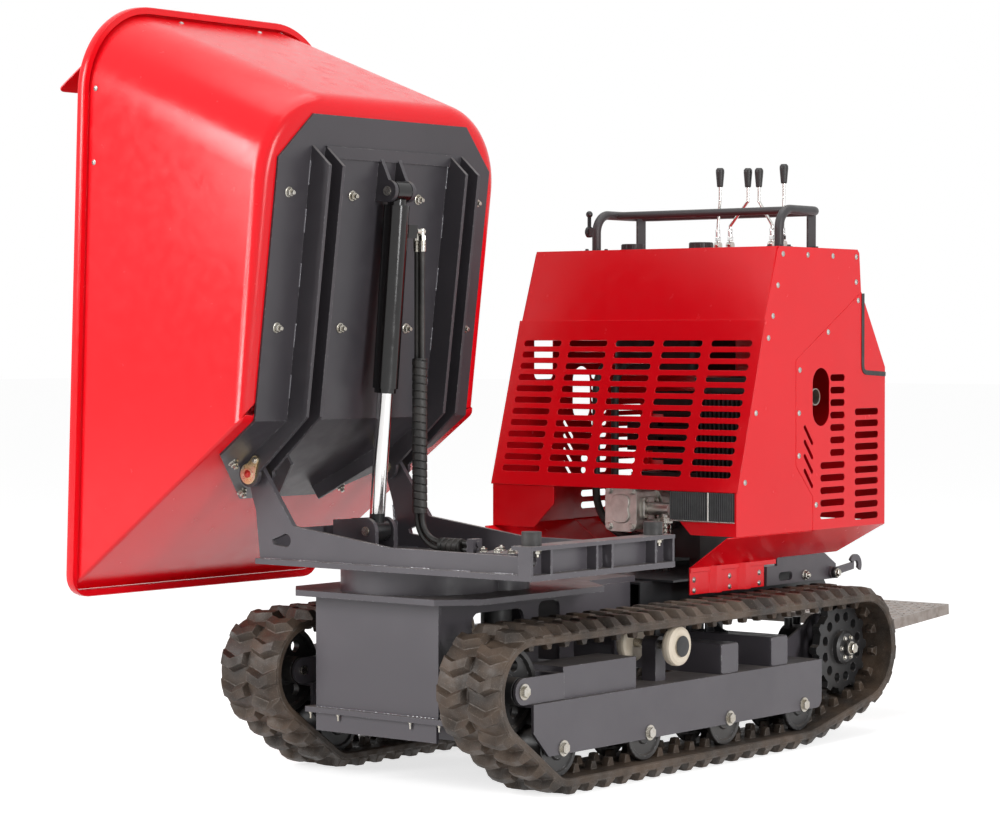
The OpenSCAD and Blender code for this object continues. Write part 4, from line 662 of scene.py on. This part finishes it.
def ribbon(mesh, path, up, width, height):
    """Adds a flat strip with rounded shoulders along a path, raised along up."""
    half = width / 2
    shape = [(-half, 0), (-half, 0.6), (-half * 0.7, 1), (half * 0.7, 1), (half, 0.6), (half, 0)]
    rings = []
    for i, spot in enumerate(path):
        ahead = (path[min(i + 1, len(path) - 1)] - path[max(i - 1, 0)]).normalized()
        side = ahead.cross(up).normalized()
        rings.append([spot + side * a + up * (b * height) for a, b in shape])
    sections(mesh, rings)


SEAM = ((1447, 1256), (1447, 1032), (1568, 1026))
edging = bmesh.new()
for side in (-1, 1):
    corners = [at(side * COVER_X, y, z) for y, z in SEAM]
    ribbon(edging, rounded(corners, 0.022), Vector((side, 0, 0)), 0.013, 0.0035)
piece("hood_edging", edging, BUFFER, "carriage")


# Skip: folded sheet with round rear corners, its rim and spill guard, in place of the plain bevelled solid

SKIP_HW, SKIP_T = 455, 4
CORNER_R, FOLD_R, FRONT_FOLD_R, FRONT_R = 215, 40, 14, 12
RIM_W, RIM_H, RIM_FRONT_R = 18, 26, 60


def moved_line(points, inset):
    """The skip's side view moved inward by the inset."""
    spots = []
    for i, point in enumerate(points):
        a = (points[max(i, 1)] - points[max(i, 1) - 1]).normalized()
        last = min(i, len(points) - 2)
        b = (points[last + 1] - points[last]).normalized()
        m, n = Vector((-a.y, a.x)), Vector((-b.y, b.x))
        spots.append(point + (m + n) * (inset / (1 + m.dot(n))))
    return spots


def plan_loop(front, rear, half, front_r, rear_r):
    """Plan of the skip as (x, y, way out), round at its corners, with as many places at any size."""
    front_x, rear_x = front + front_r, rear - rear_r
    corners = [(front_x, front_r - half, front_r, 180, 6), (rear_x, rear_r - half, rear_r, 270, 20),
               (rear_x, half - rear_r, rear_r, 0, 20), (front_x, half - front_r, front_r, 90, 6)]
    places = []
    for x, y, radius, start, steps in corners:
        for k in range(steps + 1):
            angle = math.radians(start + 90 * k / steps)
            out = Vector((math.cos(angle), math.sin(angle)))
            places.append((x + radius * out.x, y + radius * out.y, out))
    return places


def skip_rings(inset):
    """Rings of places from the floor, round its folds and up the walls to the rim's plane."""
    lip, front, rear, rim = moved_line(SKIP_LINE, inset)
    low = plan_loop(front.x, rear.x, SKIP_HW - inset, FRONT_R, CORNER_R - inset)
    high = plan_loop(lip.x, rim.x, SKIP_HW - inset, FRONT_R, CORNER_R - inset)
    slope = (rim.y - lip.y) / (rim.x - lip.x)
    feet = [Vector((x, y, front.y)) for x, y, _ in low]
    tops = [Vector((x, y, lip.y + (x - lip.x) * slope)) for x, y, _ in high]
    rings = []
    steps = 6
    for j in range(steps + 1):
        t = j / steps
        ring = []
        for foot, top, (_, _, out) in zip(feet, tops, low):
            ahead = max(0.0, -out.x)
            fold = FRONT_FOLD_R * ahead + FOLD_R * (1 - ahead) - inset
            start = foot - Vector((out.x, out.y, 0)) * fold
            end = foot + (top - foot).normalized() * fold
            ring.append(start * (1 - t) ** 2 + foot * 2 * t * (1 - t) + end * t ** 2)
        rings.append(ring)
    return rings + [tops]


def on_skip(spot):
    """A place in millimetres on the level skip, raised with it, in the frame."""
    return RAISE @ at(*spot)


def skip_skin(mesh, rings):
    """Adds an open skin through rings of places on the level skip, and returns its vertices."""
    made = [[mesh.verts.new(on_skip(spot)) for spot in ring] for ring in rings]
    skin(mesh, made)
    return made


skip_mesh = bmesh.new()
outer = skip_skin(skip_mesh, skip_rings(0))
inner = skip_skin(skip_mesh, skip_rings(SKIP_T))
for shell in (outer, inner):
    skip_mesh.faces.new(shell[0])
skin(skip_mesh, [outer[-1], inner[-1]])

# The rim's band, as shares of its width and heights below the rim's plane
lip, rear_rim = SKIP_LINE[0], SKIP_LINE[-1]
RIM_RISE = (rear_rim.y - lip.y) / (rear_rim.x - lip.x)
RIM_UP = Vector((-RIM_RISE, 0, 1)).normalized()
RIM_SECTION = [(0.02, 0), (0.7, 0), (0.92, -1.5), (1, -5), (1, -RIM_H + 3), (0.9, -RIM_H), (0.02, -RIM_H)]


def rim_place(x, y):
    """A place on the rim's plane, with the skip level."""
    return Vector((x, y, lip.y + (x - lip.x) * RIM_RISE))


rim_in = plan_loop(lip.x, rear_rim.x, SKIP_HW, FRONT_R, CORNER_R)
rim_out = plan_loop(lip.x - RIM_W, rear_rim.x + RIM_W, SKIP_HW + RIM_W, RIM_FRONT_R, CORNER_R + RIM_W)
rim_rings = []
for share, height in RIM_SECTION + RIM_SECTION[:1]:
    rim_rings.append([rim_place(a[0], a[1]).lerp(rim_place(b[0], b[1]), share) + RIM_UP * height
                      for a, b in zip(rim_in, rim_out)])
skip_skin(skip_mesh, rim_rings)

GUARD_L, GUARD_HW, GUARD_LEAN = 267, (280, 400), math.radians(32)
GUARD_ALONG = Vector((-math.cos(GUARD_LEAN), 0, math.sin(GUARD_LEAN)))
GUARD_UP = Vector((-math.sin(GUARD_LEAN), 0, -math.cos(GUARD_LEAN)))
guard_foot = Vector((rear_rim.x + 6, 0, rear_rim.y - 4))
guard_corners = [Vector((GUARD_L, -GUARD_HW[1])), Vector((GUARD_L, GUARD_HW[1])),
                 Vector((0, GUARD_HW[0])), Vector((0, -GUARD_HW[0]))]
guard_plan = [guard_foot + GUARD_ALONG * spot.x + Vector((0, spot.y, 0))
              for spot in rounded_loop(guard_corners, 24)]
sections(skip_mesh, [[on_skip(spot + GUARD_UP * level) for spot in guard_plan] for level in (0, SKIP_T)])
skip = piece("skip_shell", skip_mesh, RED, "skip_body", 40)
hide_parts("skip")

# Screws of the spill guard, below the rim
SCREW_DROP = 50
REAR_UP = (SKIP_LINE[3] - SKIP_LINE[2]).normalized()
rear_screw = SKIP_LINE[3] - REAR_UP * SCREW_DROP
rim_screws = []
for side in (-1, 1):
    for x in (416, 605):
        spot = rim_place(x, side * SKIP_HW) - RIM_UP * SCREW_DROP
        rim_screws.append(RAISE @ facing(at(*spot), (0, side, 0)))
    spot = at(rear_screw.x, side * 150, rear_screw.y)
    rim_screws.append(RAISE @ facing(spot, (REAR_UP.y, 0, -REAR_UP.x)))
set_of("rim_screws", button_screw, rim_screws, SCREW, "skip_body", "zinc", size=6.5)


# Rubber tracks: band, guide horns and tread bars with sloped sides, on the same loop and pitch as the solids

BELT_T, BELT_HW, BELT_EDGE = 20, 100, 4
LUG_H, LUG_PITCH, LUG_FOOT, LUG_TOP, BAR_START, BEND_DROP = 25, 72, 20, 10, 0.3, 4
LUG_BEVEL, LUG_ROUND, LUG_SPREAD = 2, 4, 6
HORN_H, HORN_FOOT, HORN_TOP, SINK = 22, 14, 8, 2
ROAD_R, SPROCKET_R, IDLER_R = 73, 135, 113


def track_wraps(name):
    """Circles that the band's inside wraps, as (y, z, radius) in millimetres, in order round the loop."""
    joints = ("road_wheel_%s_1_turn", "road_wheel_%s_4_turn", "sprocket_%s_turn", "idler_%s_turn")
    spots = [Vector(JOINTS[joint % name]["pos_m"]) / MM for joint in joints]
    return [(spot.y, spot.z, radius) for spot, radius in zip(spots, (ROAD_R, ROAD_R, SPROCKET_R, IDLER_R))]


class Loop:
    """A closed band round circles, with the place and heading at any length along it."""

    def __init__(self, wraps):
        self.wraps = wraps
        self.headings = []
        self.runs = []
        for i, a in enumerate(wraps):
            b = wraps[(i + 1) % len(wraps)]
            gap = math.hypot(b[0] - a[0], b[1] - a[1])
            heading = math.atan2(b[1] - a[1], b[0] - a[0]) + math.asin((a[2] - b[2]) / gap)
            self.headings.append(heading + 2 * math.pi if heading < -0.02 else heading)
            self.runs.append(math.sqrt(gap ** 2 - (a[2] - b[2]) ** 2))
        self.turns = [(h - self.headings[i - 1]) % (2 * math.pi) for i, h in enumerate(self.headings)]
        self.arcs = [(wrap[2] + BELT_T / 2) * turn for wrap, turn in zip(wraps, self.turns)]
        self.length = sum(self.runs) + sum(self.arcs)

    def touch(self, i, heading):
        """Place on circle i where the band has that heading."""
        y, z, radius = self.wraps[i]
        return Vector((y, z)) + radius * Vector((math.sin(heading), -math.cos(heading)))

    def place(self, length):
        """Place on the band's inside, its heading and whether it is on a bend."""
        length %= self.length
        for i, heading in enumerate(self.headings):
            if length <= self.runs[i]:
                ahead = Vector((math.cos(heading), math.sin(heading)))
                return self.touch(i, heading) + length * ahead, heading, False
            length -= self.runs[i]
            j = (i + 1) % len(self.wraps)
            if length <= self.arcs[j]:
                heading += length / self.arcs[j] * self.turns[j]
                return self.touch(j, heading), heading, True
            length -= self.arcs[j]


def track_point(loop, middle_x, length, across, outward):
    """A place on the track: along the loop, across from its middle and outward from the band's inside."""
    spot, heading, _ = loop.place(length)
    out = Vector((math.sin(heading), -math.cos(heading)))
    return Vector((middle_x + across, spot.x + out.x * outward, spot.y + out.y * outward)) * MM


# Stations across half a track, as (across, lead, share of the full height)
LUG_STATIONS = ((3, 0, 0.10), (9, 2, 0.92), (30, 9, 1.0), (51, 16, 1.0), (68, 10, 1.0), (82, 5, 0.92),
                (98.5, 0, 0.12))
HORN_STATIONS = ((26, 0.9), (29, 1.0), (43, 1.0), (46, 0.9))
BAND_SIDE = [(BELT_HW - BELT_EDGE, 0), (BELT_HW, BELT_EDGE), (BELT_HW, BELT_T - BELT_EDGE),
             (BELT_HW - BELT_EDGE, BELT_T)]
BAND = BAND_SIDE + [(-across, outward) for across, outward in reversed(BAND_SIDE)]


def lug_shape(tall, share):
    """Section of a tread bar as (ahead, outward), sunk a little into the band and broader where it is low."""
    foot, high, top = BELT_T - SINK, BELT_T + tall * share, LUG_TOP + (1 - share) * LUG_SPREAD
    side, shoulder = top + LUG_BEVEL, high - LUG_ROUND * share
    return ((-LUG_FOOT, foot), (-side, shoulder), (-top, high), (top, high), (side, shoulder),
            (LUG_FOOT, foot))


def horn_shape(share):
    """Section of a guide horn as (ahead, outward), which points inward."""
    top, high = HORN_TOP * share, HORN_H * share
    return ((-HORN_FOOT, SINK), (-top, -high), (top, -high), (HORN_FOOT, SINK))


def track_mesh(name, sign):
    """One track. sign is 1 on the left, and -1 on the right, which mirrors it."""
    middle_x = JOINTS["idler_%s_turn" % name]["pos_m"][0] / MM
    mesh = bmesh.new()
    loop = Loop(track_wraps(name))
    count = round(loop.length / LUG_PITCH)
    step = loop.length / count
    stops = 4 * count
    rings = [[mesh.verts.new(track_point(loop, middle_x, loop.length * i / stops, a, b)) for a, b in BAND]
             for i in range(stops)]
    skin(mesh, rings + rings[:1])
    for n in range(count):
        for side, shift in ((sign, 0.0), (-sign, 0.5)):
            start = (n + BAR_START + shift) * step
            tall = LUG_H - BEND_DROP if loop.place(start)[2] else LUG_H
            sections(mesh, [[track_point(loop, middle_x, start + lead + u, side * across, w)
                             for u, w in lug_shape(tall, share)] for across, lead, share in LUG_STATIONS])
            sections(mesh, [[track_point(loop, middle_x, start + u, side * across, w)
                             for u, w in horn_shape(share)] for across, share in HORN_STATIONS])
    return mesh


for name, sign in (("left", 1), ("right", -1)):
    band = piece("track_band_%s" % name, track_mesh(name, sign), TRACK, "carriage", 24)
    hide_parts("track_%s" % name)


# Cooler's finned lower end, at the front return left of the pump, and its pale header tube

RETURN_Y, FIN_X, FIN_Z, FIN_PITCH, FIN_DEPTH = 812, (200, 413), (634, 712), 7, 3
fins = bmesh.new()
fin_width = FIN_X[1] - FIN_X[0]
folds = round(2 * fin_width / FIN_PITCH)
ridge = [Vector((FIN_X[0] + fin_width * k / folds, -0.4 - FIN_DEPTH * (k % 2))) for k in range(folds + 1)]
profile = [Vector((FIN_X[0], 0.5))] + ridge + [Vector((FIN_X[1], 0.5))]
sections(fins, [[at(spot.x, RETURN_Y + spot.y, z) for spot in profile] for z in FIN_Z])
piece("cooler_fins", fins, PLASTIC, "carriage")
header = bmesh.new()
HEADER_X, HEADER_Y = 328, RETURN_Y - 2.5
tube(header, line(at(HEADER_X, HEADER_Y, FIN_Z[0]), at(HEADER_X, HEADER_Y, FIN_Z[1]), 6), 2.2 * MM, 10)
ledge = [at(x, RETURN_Y - 1, FIN_Z[0] - 1) for x in FIN_X]
tube(header, line(*ledge, 6), 2.0 * MM, 10)
piece("cooler_header", header, ALLOY, "carriage")


# Plates that close the ends of the cross beams on the track frames

BEAM_END, BEAM_YS, BEAM_HW, CAP_T = 430, (760, 1000), 40, 5


def beam_cap(mesh, matrix):
    """Square plate with round corners and a chamfered edge."""
    corners = [Vector((a * BEAM_HW, b * BEAM_HW)) for a, b in ((1, -1), (1, 1), (-1, 1), (-1, -1))]
    stacked(mesh, matrix, rounded_loop(corners, 9), ((1.0, 0.2), (1.0, CAP_T - 1.5), (0.96, CAP_T)))


beam_caps = [facing(at(side * BEAM_END, y, BEAM_TOP - BEAM_HW), (side, 0, 0))
             for side in (-1, 1) for y in BEAM_YS]
set_of("beam_caps", beam_cap, beam_caps, GREY, "carriage", "grey_paint")


# Caps of the carrier rollers, bolts of the sprockets, and the latch's spacer and nut

CARRIER_HW, HUB_FACE, HUB_END, BOLT_CIRCLE_R = 92, 32, 44, 31


def hub_cap(mesh, matrix):
    """Low round cap over a roller's bearing."""
    lathe(mesh, matrix, [(0, 0), (27, 0), (27.5, 1), (27, 2.2), (24, 2.8), (8, 3.2), (0, 3.2)], 36)


for name, sign in (("left", 1), ("right", -1)):
    spot = Vector(JOINTS["carrier_%s_turn" % name]["pos_m"])
    caps = [facing(spot + Vector((way * CARRIER_HW * MM, 0, 0)), (way, 0, 0)) for way in (-1, 1)]
    set_of("carrier_caps_%s" % name, hub_cap, caps, PLASTIC, "carriage", "black_plastic")
    hub = Vector(JOINTS["sprocket_%s_turn" % name]["pos_m"])
    ring = []
    for k in range(6):
        angle = math.radians(60 * k)
        spot = Vector((sign * HUB_FACE, BOLT_CIRCLE_R * math.cos(angle), BOLT_CIRCLE_R * math.sin(angle)))
        ring.append(facing(hub + spot * MM, (sign, 0, 0), angle))
    bolts("sprocket_bolts_%s" % name, ring, "sprocket_%s_body" % name, 6.5)
    nut = [facing(hub + Vector((sign * HUB_END, 0, 0)) * MM, (sign, 0, 0))]
    bolts("sprocket_nut_%s" % name, nut, "sprocket_%s_body" % name, 17.0)

LATCH = facing(at(308.3, 1476, 454), (1, 0, 0))
spacer = bmesh.new()
lathe(spacer, LATCH, [(9, 0), (15, 0), (16, 1), (16, 10), (15, 11), (9, 11), (9, 0)], 28)
piece("latch_spacer", spacer, PLASTIC, "latch_body")
latch_nut = LATCH @ Matrix.Translation((0, 0, 11.2 * MM))
bolts("latch_nut", [latch_nut], "carriage", 11.0)


# Fasteners of the tower's floor, the buffers, the handlebar and the levers

FLOOR_BOLT_XS, FLOOR_BOLT_Y, FLOOR_BOLT_Z = (-214, -120, 120, 214), -181, 176
floor_bolts = [facing(at(x, FLOOR_BOLT_Y, FLOOR_BOLT_Z), (0, 0, -1), 0.1 * x) for x in FLOOR_BOLT_XS]
bolts("floor_bolts", floor_bolts, "carriage", 5.0, 12.0)

BUFFER_X, BUFFER_Y, BUFFER_Z = 569, 246, 628
buffer_nuts = [facing(at(BUFFER_X, side * BUFFER_Y, BUFFER_Z), (0, 0, -1)) for side in (-1, 1)]
bolts("buffer_nuts", buffer_nuts, "slew_deck", 11.0, 8.0)

BAR_X, LEG_Y, REAR_Y, FOOT_T = 318, 1170, 1390, 5
feet = []
for side in (-1, 1):
    for dx in (-20, 20):
        for dy in (-20, 20):
            feet.append(facing(at(side * (BAR_X + dx), LEG_Y + dy, TOP_Z + FOOT_T), (0, 0, 1), 0.1 * dx))
    for dx in (-32, -10):
        feet.append(facing(at(side * (BAR_X + dx), REAR_Y - 12, TOP_Z + FOOT_T), (0, 0, 1), 0.3))
set_of("handlebar_bolts", hex_bolt, feet, BAR, "carriage", "black_paint", size=6.0)

LEVER_XS, LEVER_Y, LEVER_Z = (2, 45, 189, 226), 1330, TOP_Z + 18
for number, x in enumerate(LEVER_XS, 1):
    coupling = bmesh.new()
    stem = facing(at(x, LEVER_Y, LEVER_Z), (0, 0, 1))
    lathe(coupling, stem, [(4.4, 12), (8.2, 12), (9.0, 13), (9.0, 23), (8.2, 24), (4.4, 24)], 6, 0.3)
    lathe(coupling, stem, [(4.4, 25), (6.6, 25), (7.2, 26), (7.2, 44), (6.4, 46), (4.4, 46)], 20)
    piece("lever_%d_coupling" % number, coupling, CHROME, "lever_%d_body" % number)


# Raised bars of the platform's chequered plate

HINGE = Vector(JOINTS["platform_fold"]["pos_m"])
TILT = math.radians(4)
DECK = Matrix.Translation(HINGE) @ Matrix.Rotation(TILT, 4, "X")
DECK_T = 5


def tread_bump(mesh, matrix):
    """One lens-shaped bar, as (half length, half width, height) at its foot and top."""
    rings = []
    for long, wide, height in ((13.0, 3.4, -0.2), (11.18, 2.04, 1.6)):
        rings.append([matrix @ (Vector((spot.x * long, spot.y * wide, height)) * MM)
                      for spot in polar(lambda angle: 1.0, 12)])
    sections(mesh, rings)


COLUMNS, ROWS, PITCH, FIRST_ROW = 25, 10, 30, 45
bumps = []
for column in range(COLUMNS):
    for row in range(ROWS):
        spot = Vector(((column - COLUMNS // 2) * PITCH, FIRST_ROW + row * PITCH, DECK_T)) * MM
        turn = math.radians(45 if (column + row) % 2 else -45)
        bumps.append(DECK @ Matrix.Translation(spot) @ Matrix.Rotation(turn, 4, "Z"))
set_of("platform_tread", tread_bump, bumps, PLATE, "platform_body", "tread_plate")


# Weld beads, in a lighter grey that paints their highlight

chance = random.Random(7)


def bead(mesh, a, b, radius=3.2):
    """A bead laid from a to b, with the ripple of its passes."""
    steps = max(6, int((b - a).length / 0.004))
    wobble = [chance.uniform(0.82, 1.12) for _ in range(steps + 1)]
    tube(mesh, line(a, b, steps), radius * MM, 8, lambda i, k: wobble[i] * (1.0 + 0.10 * math.sin(i * 1.9)))


tower_welds = bmesh.new()
TOWER_HW, TOWER_Y, TOWER_TOP, TOWER_FOOT = 203.5, -172, 474, 190
for side in (-1, 1):
    x, y = side * (TOWER_HW - 18), TOWER_Y + 10
    bead(tower_welds, at(x, y, TOWER_FOOT + 4), at(x, y, TOWER_TOP - 4))
for z in (TOWER_FOOT, TOWER_TOP):
    bead(tower_welds, at(-TOWER_HW, TOWER_Y, z), at(TOWER_HW, TOWER_Y, z))
piece("tower_welds", tower_welds, WELD_PAINTED_HIGHLIGHT, "carriage", 60)

RAIL_Y, RAIL_T, STITCH = 265, 14, 60
deck_welds = bmesh.new()
for side in (-1, 1):
    for face in (-1, 1):
        y = side * RAIL_Y + face * RAIL_T / 2
        for x in (-290, -170, -50, 70, 200, 330, 460):
            bead(deck_welds, at(x, y, BASE_TOP), at(x + STITCH, y, BASE_TOP), 2.6)
    y = side * (RAIL_Y - RAIL_T / 2)
    bead(deck_welds, at(-304, y, BASE_TOP), at(-316, y, 680), 2.6)
piece("deck_welds", deck_welds, WELD_PAINTED_HIGHLIGHT, "slew_deck", 60)

UPRIGHT_YS = (235, 245, 285, 295)
skip_welds = bmesh.new()
for side in (-1, 1):
    for y in UPRIGHT_YS:
        for x in (-120, 20, 160, 300, 430):
            start = x + chance.uniform(-12, 12)
            ends = [RAISE @ at(end, side * y, SHEET_Z) for end in (start, start + STITCH)]
            bead(skip_welds, *ends, 2.4)
piece("skip_welds", skip_welds, WELD_PAINTED_HIGHLIGHT, "skip_body", 60)


# Camera, at the photograph's angle

FOCUS_MM, LOOK_DOWN, LOOK_ROUND = 103.22, 1.502, 38.794
camera = bpy.data.objects.new("camera", bpy.data.cameras.new("camera"))
camera.data.sensor_fit = "HORIZONTAL"
camera.data.sensor_width = 36.0
camera.data.lens = FOCUS_MM
camera.data.clip_end = 200.0
camera.location = at(4729, -5560, 1120)
camera.rotation_euler = (math.radians(90 - LOOK_DOWN), 0.0, math.radians(LOOK_ROUND))
bpy.context.scene.collection.objects.link(camera)
bpy.context.scene.camera = camera


# Studio

def area_lamp(name, place, target, size, power):
    """An oblong lamp at a place, aimed at a target."""
    lamp = bpy.data.lights.new(name, "AREA")
    lamp.shape = "RECTANGLE"
    lamp.size, lamp.size_y = size
    lamp.energy = power
    made = bpy.data.objects.new(name, lamp)
    made.location = place
    made.rotation_euler = (Vector(target) - Vector(place)).to_track_quat("-Z", "Y").to_euler()
    bpy.context.scene.collection.objects.link(made)


area_lamp("key", (-2.6, -6.0, 3.2), (0, 0, 0.9), (1.6, 3.2), 280)
area_lamp("fill", (6.5, -1.5, 2.2), (0, 0, 0.8), (1.4, 3.2), 210)
area_lamp("top", (0.5, 0.0, 5.5), (0, 0, 0), (4.0, 4.0), 105)

world = bpy.context.scene.world or bpy.data.worlds.new("studio")
bpy.context.scene.world = world
world.use_nodes = True


def shown_rays(tree):
    """1 for camera, glossy and transmission rays, which see the white background."""
    path = tree.nodes.new("ShaderNodeLightPath")
    total = path.outputs["Is Camera Ray"]
    for key in ("Is Glossy Ray", "Is Transmission Ray"):
        larger = tree.nodes.new("ShaderNodeMath")
        larger.operation = "MAXIMUM"
        tree.links.new(total, larger.inputs[0])
        tree.links.new(path.outputs[key], larger.inputs[1])
        total = larger.outputs["Value"]
    return total


AMBIENT = 0.38
back = world.node_tree.nodes["Background"]
level = world.node_tree.nodes.new("ShaderNodeMapRange")
level.inputs["To Min"].default_value = AMBIENT
world.node_tree.links.new(shown_rays(world.node_tree), level.inputs["Value"])
world.node_tree.links.new(level.outputs["Result"], back.inputs["Strength"])
back.inputs["Color"].default_value = rgb(1, 1, 1)

floor_mesh = bmesh.new()
bmesh.ops.create_grid(floor_mesh, x_segments=1, y_segments=1, size=60.0)
floor_data = bpy.data.meshes.new("floor")
floor_mesh.to_mesh(floor_data)
floor_mesh.free()
floor = bpy.data.objects.new("floor", floor_data)
bpy.context.scene.collection.objects.link(floor)
floor_look = Shader("floor").set(Base_Color=rgb(0.68, 0.68, 0.68), Roughness=0.9, Specular_IOR_Level=0.0)
GLOW = 0.72
shown = shown_rays(floor_look.material.node_tree)
lift = floor_look.node("ShaderNodeMapRange", Value=shown, To_Max=GLOW)
floor_look.set(Emission_Color=rgb(1, 1, 1), Emission_Strength=lift.outputs["Result"])
floor_data.materials.append(floor_look.material)

bpy.context.scene.view_settings.view_transform = "Standard"
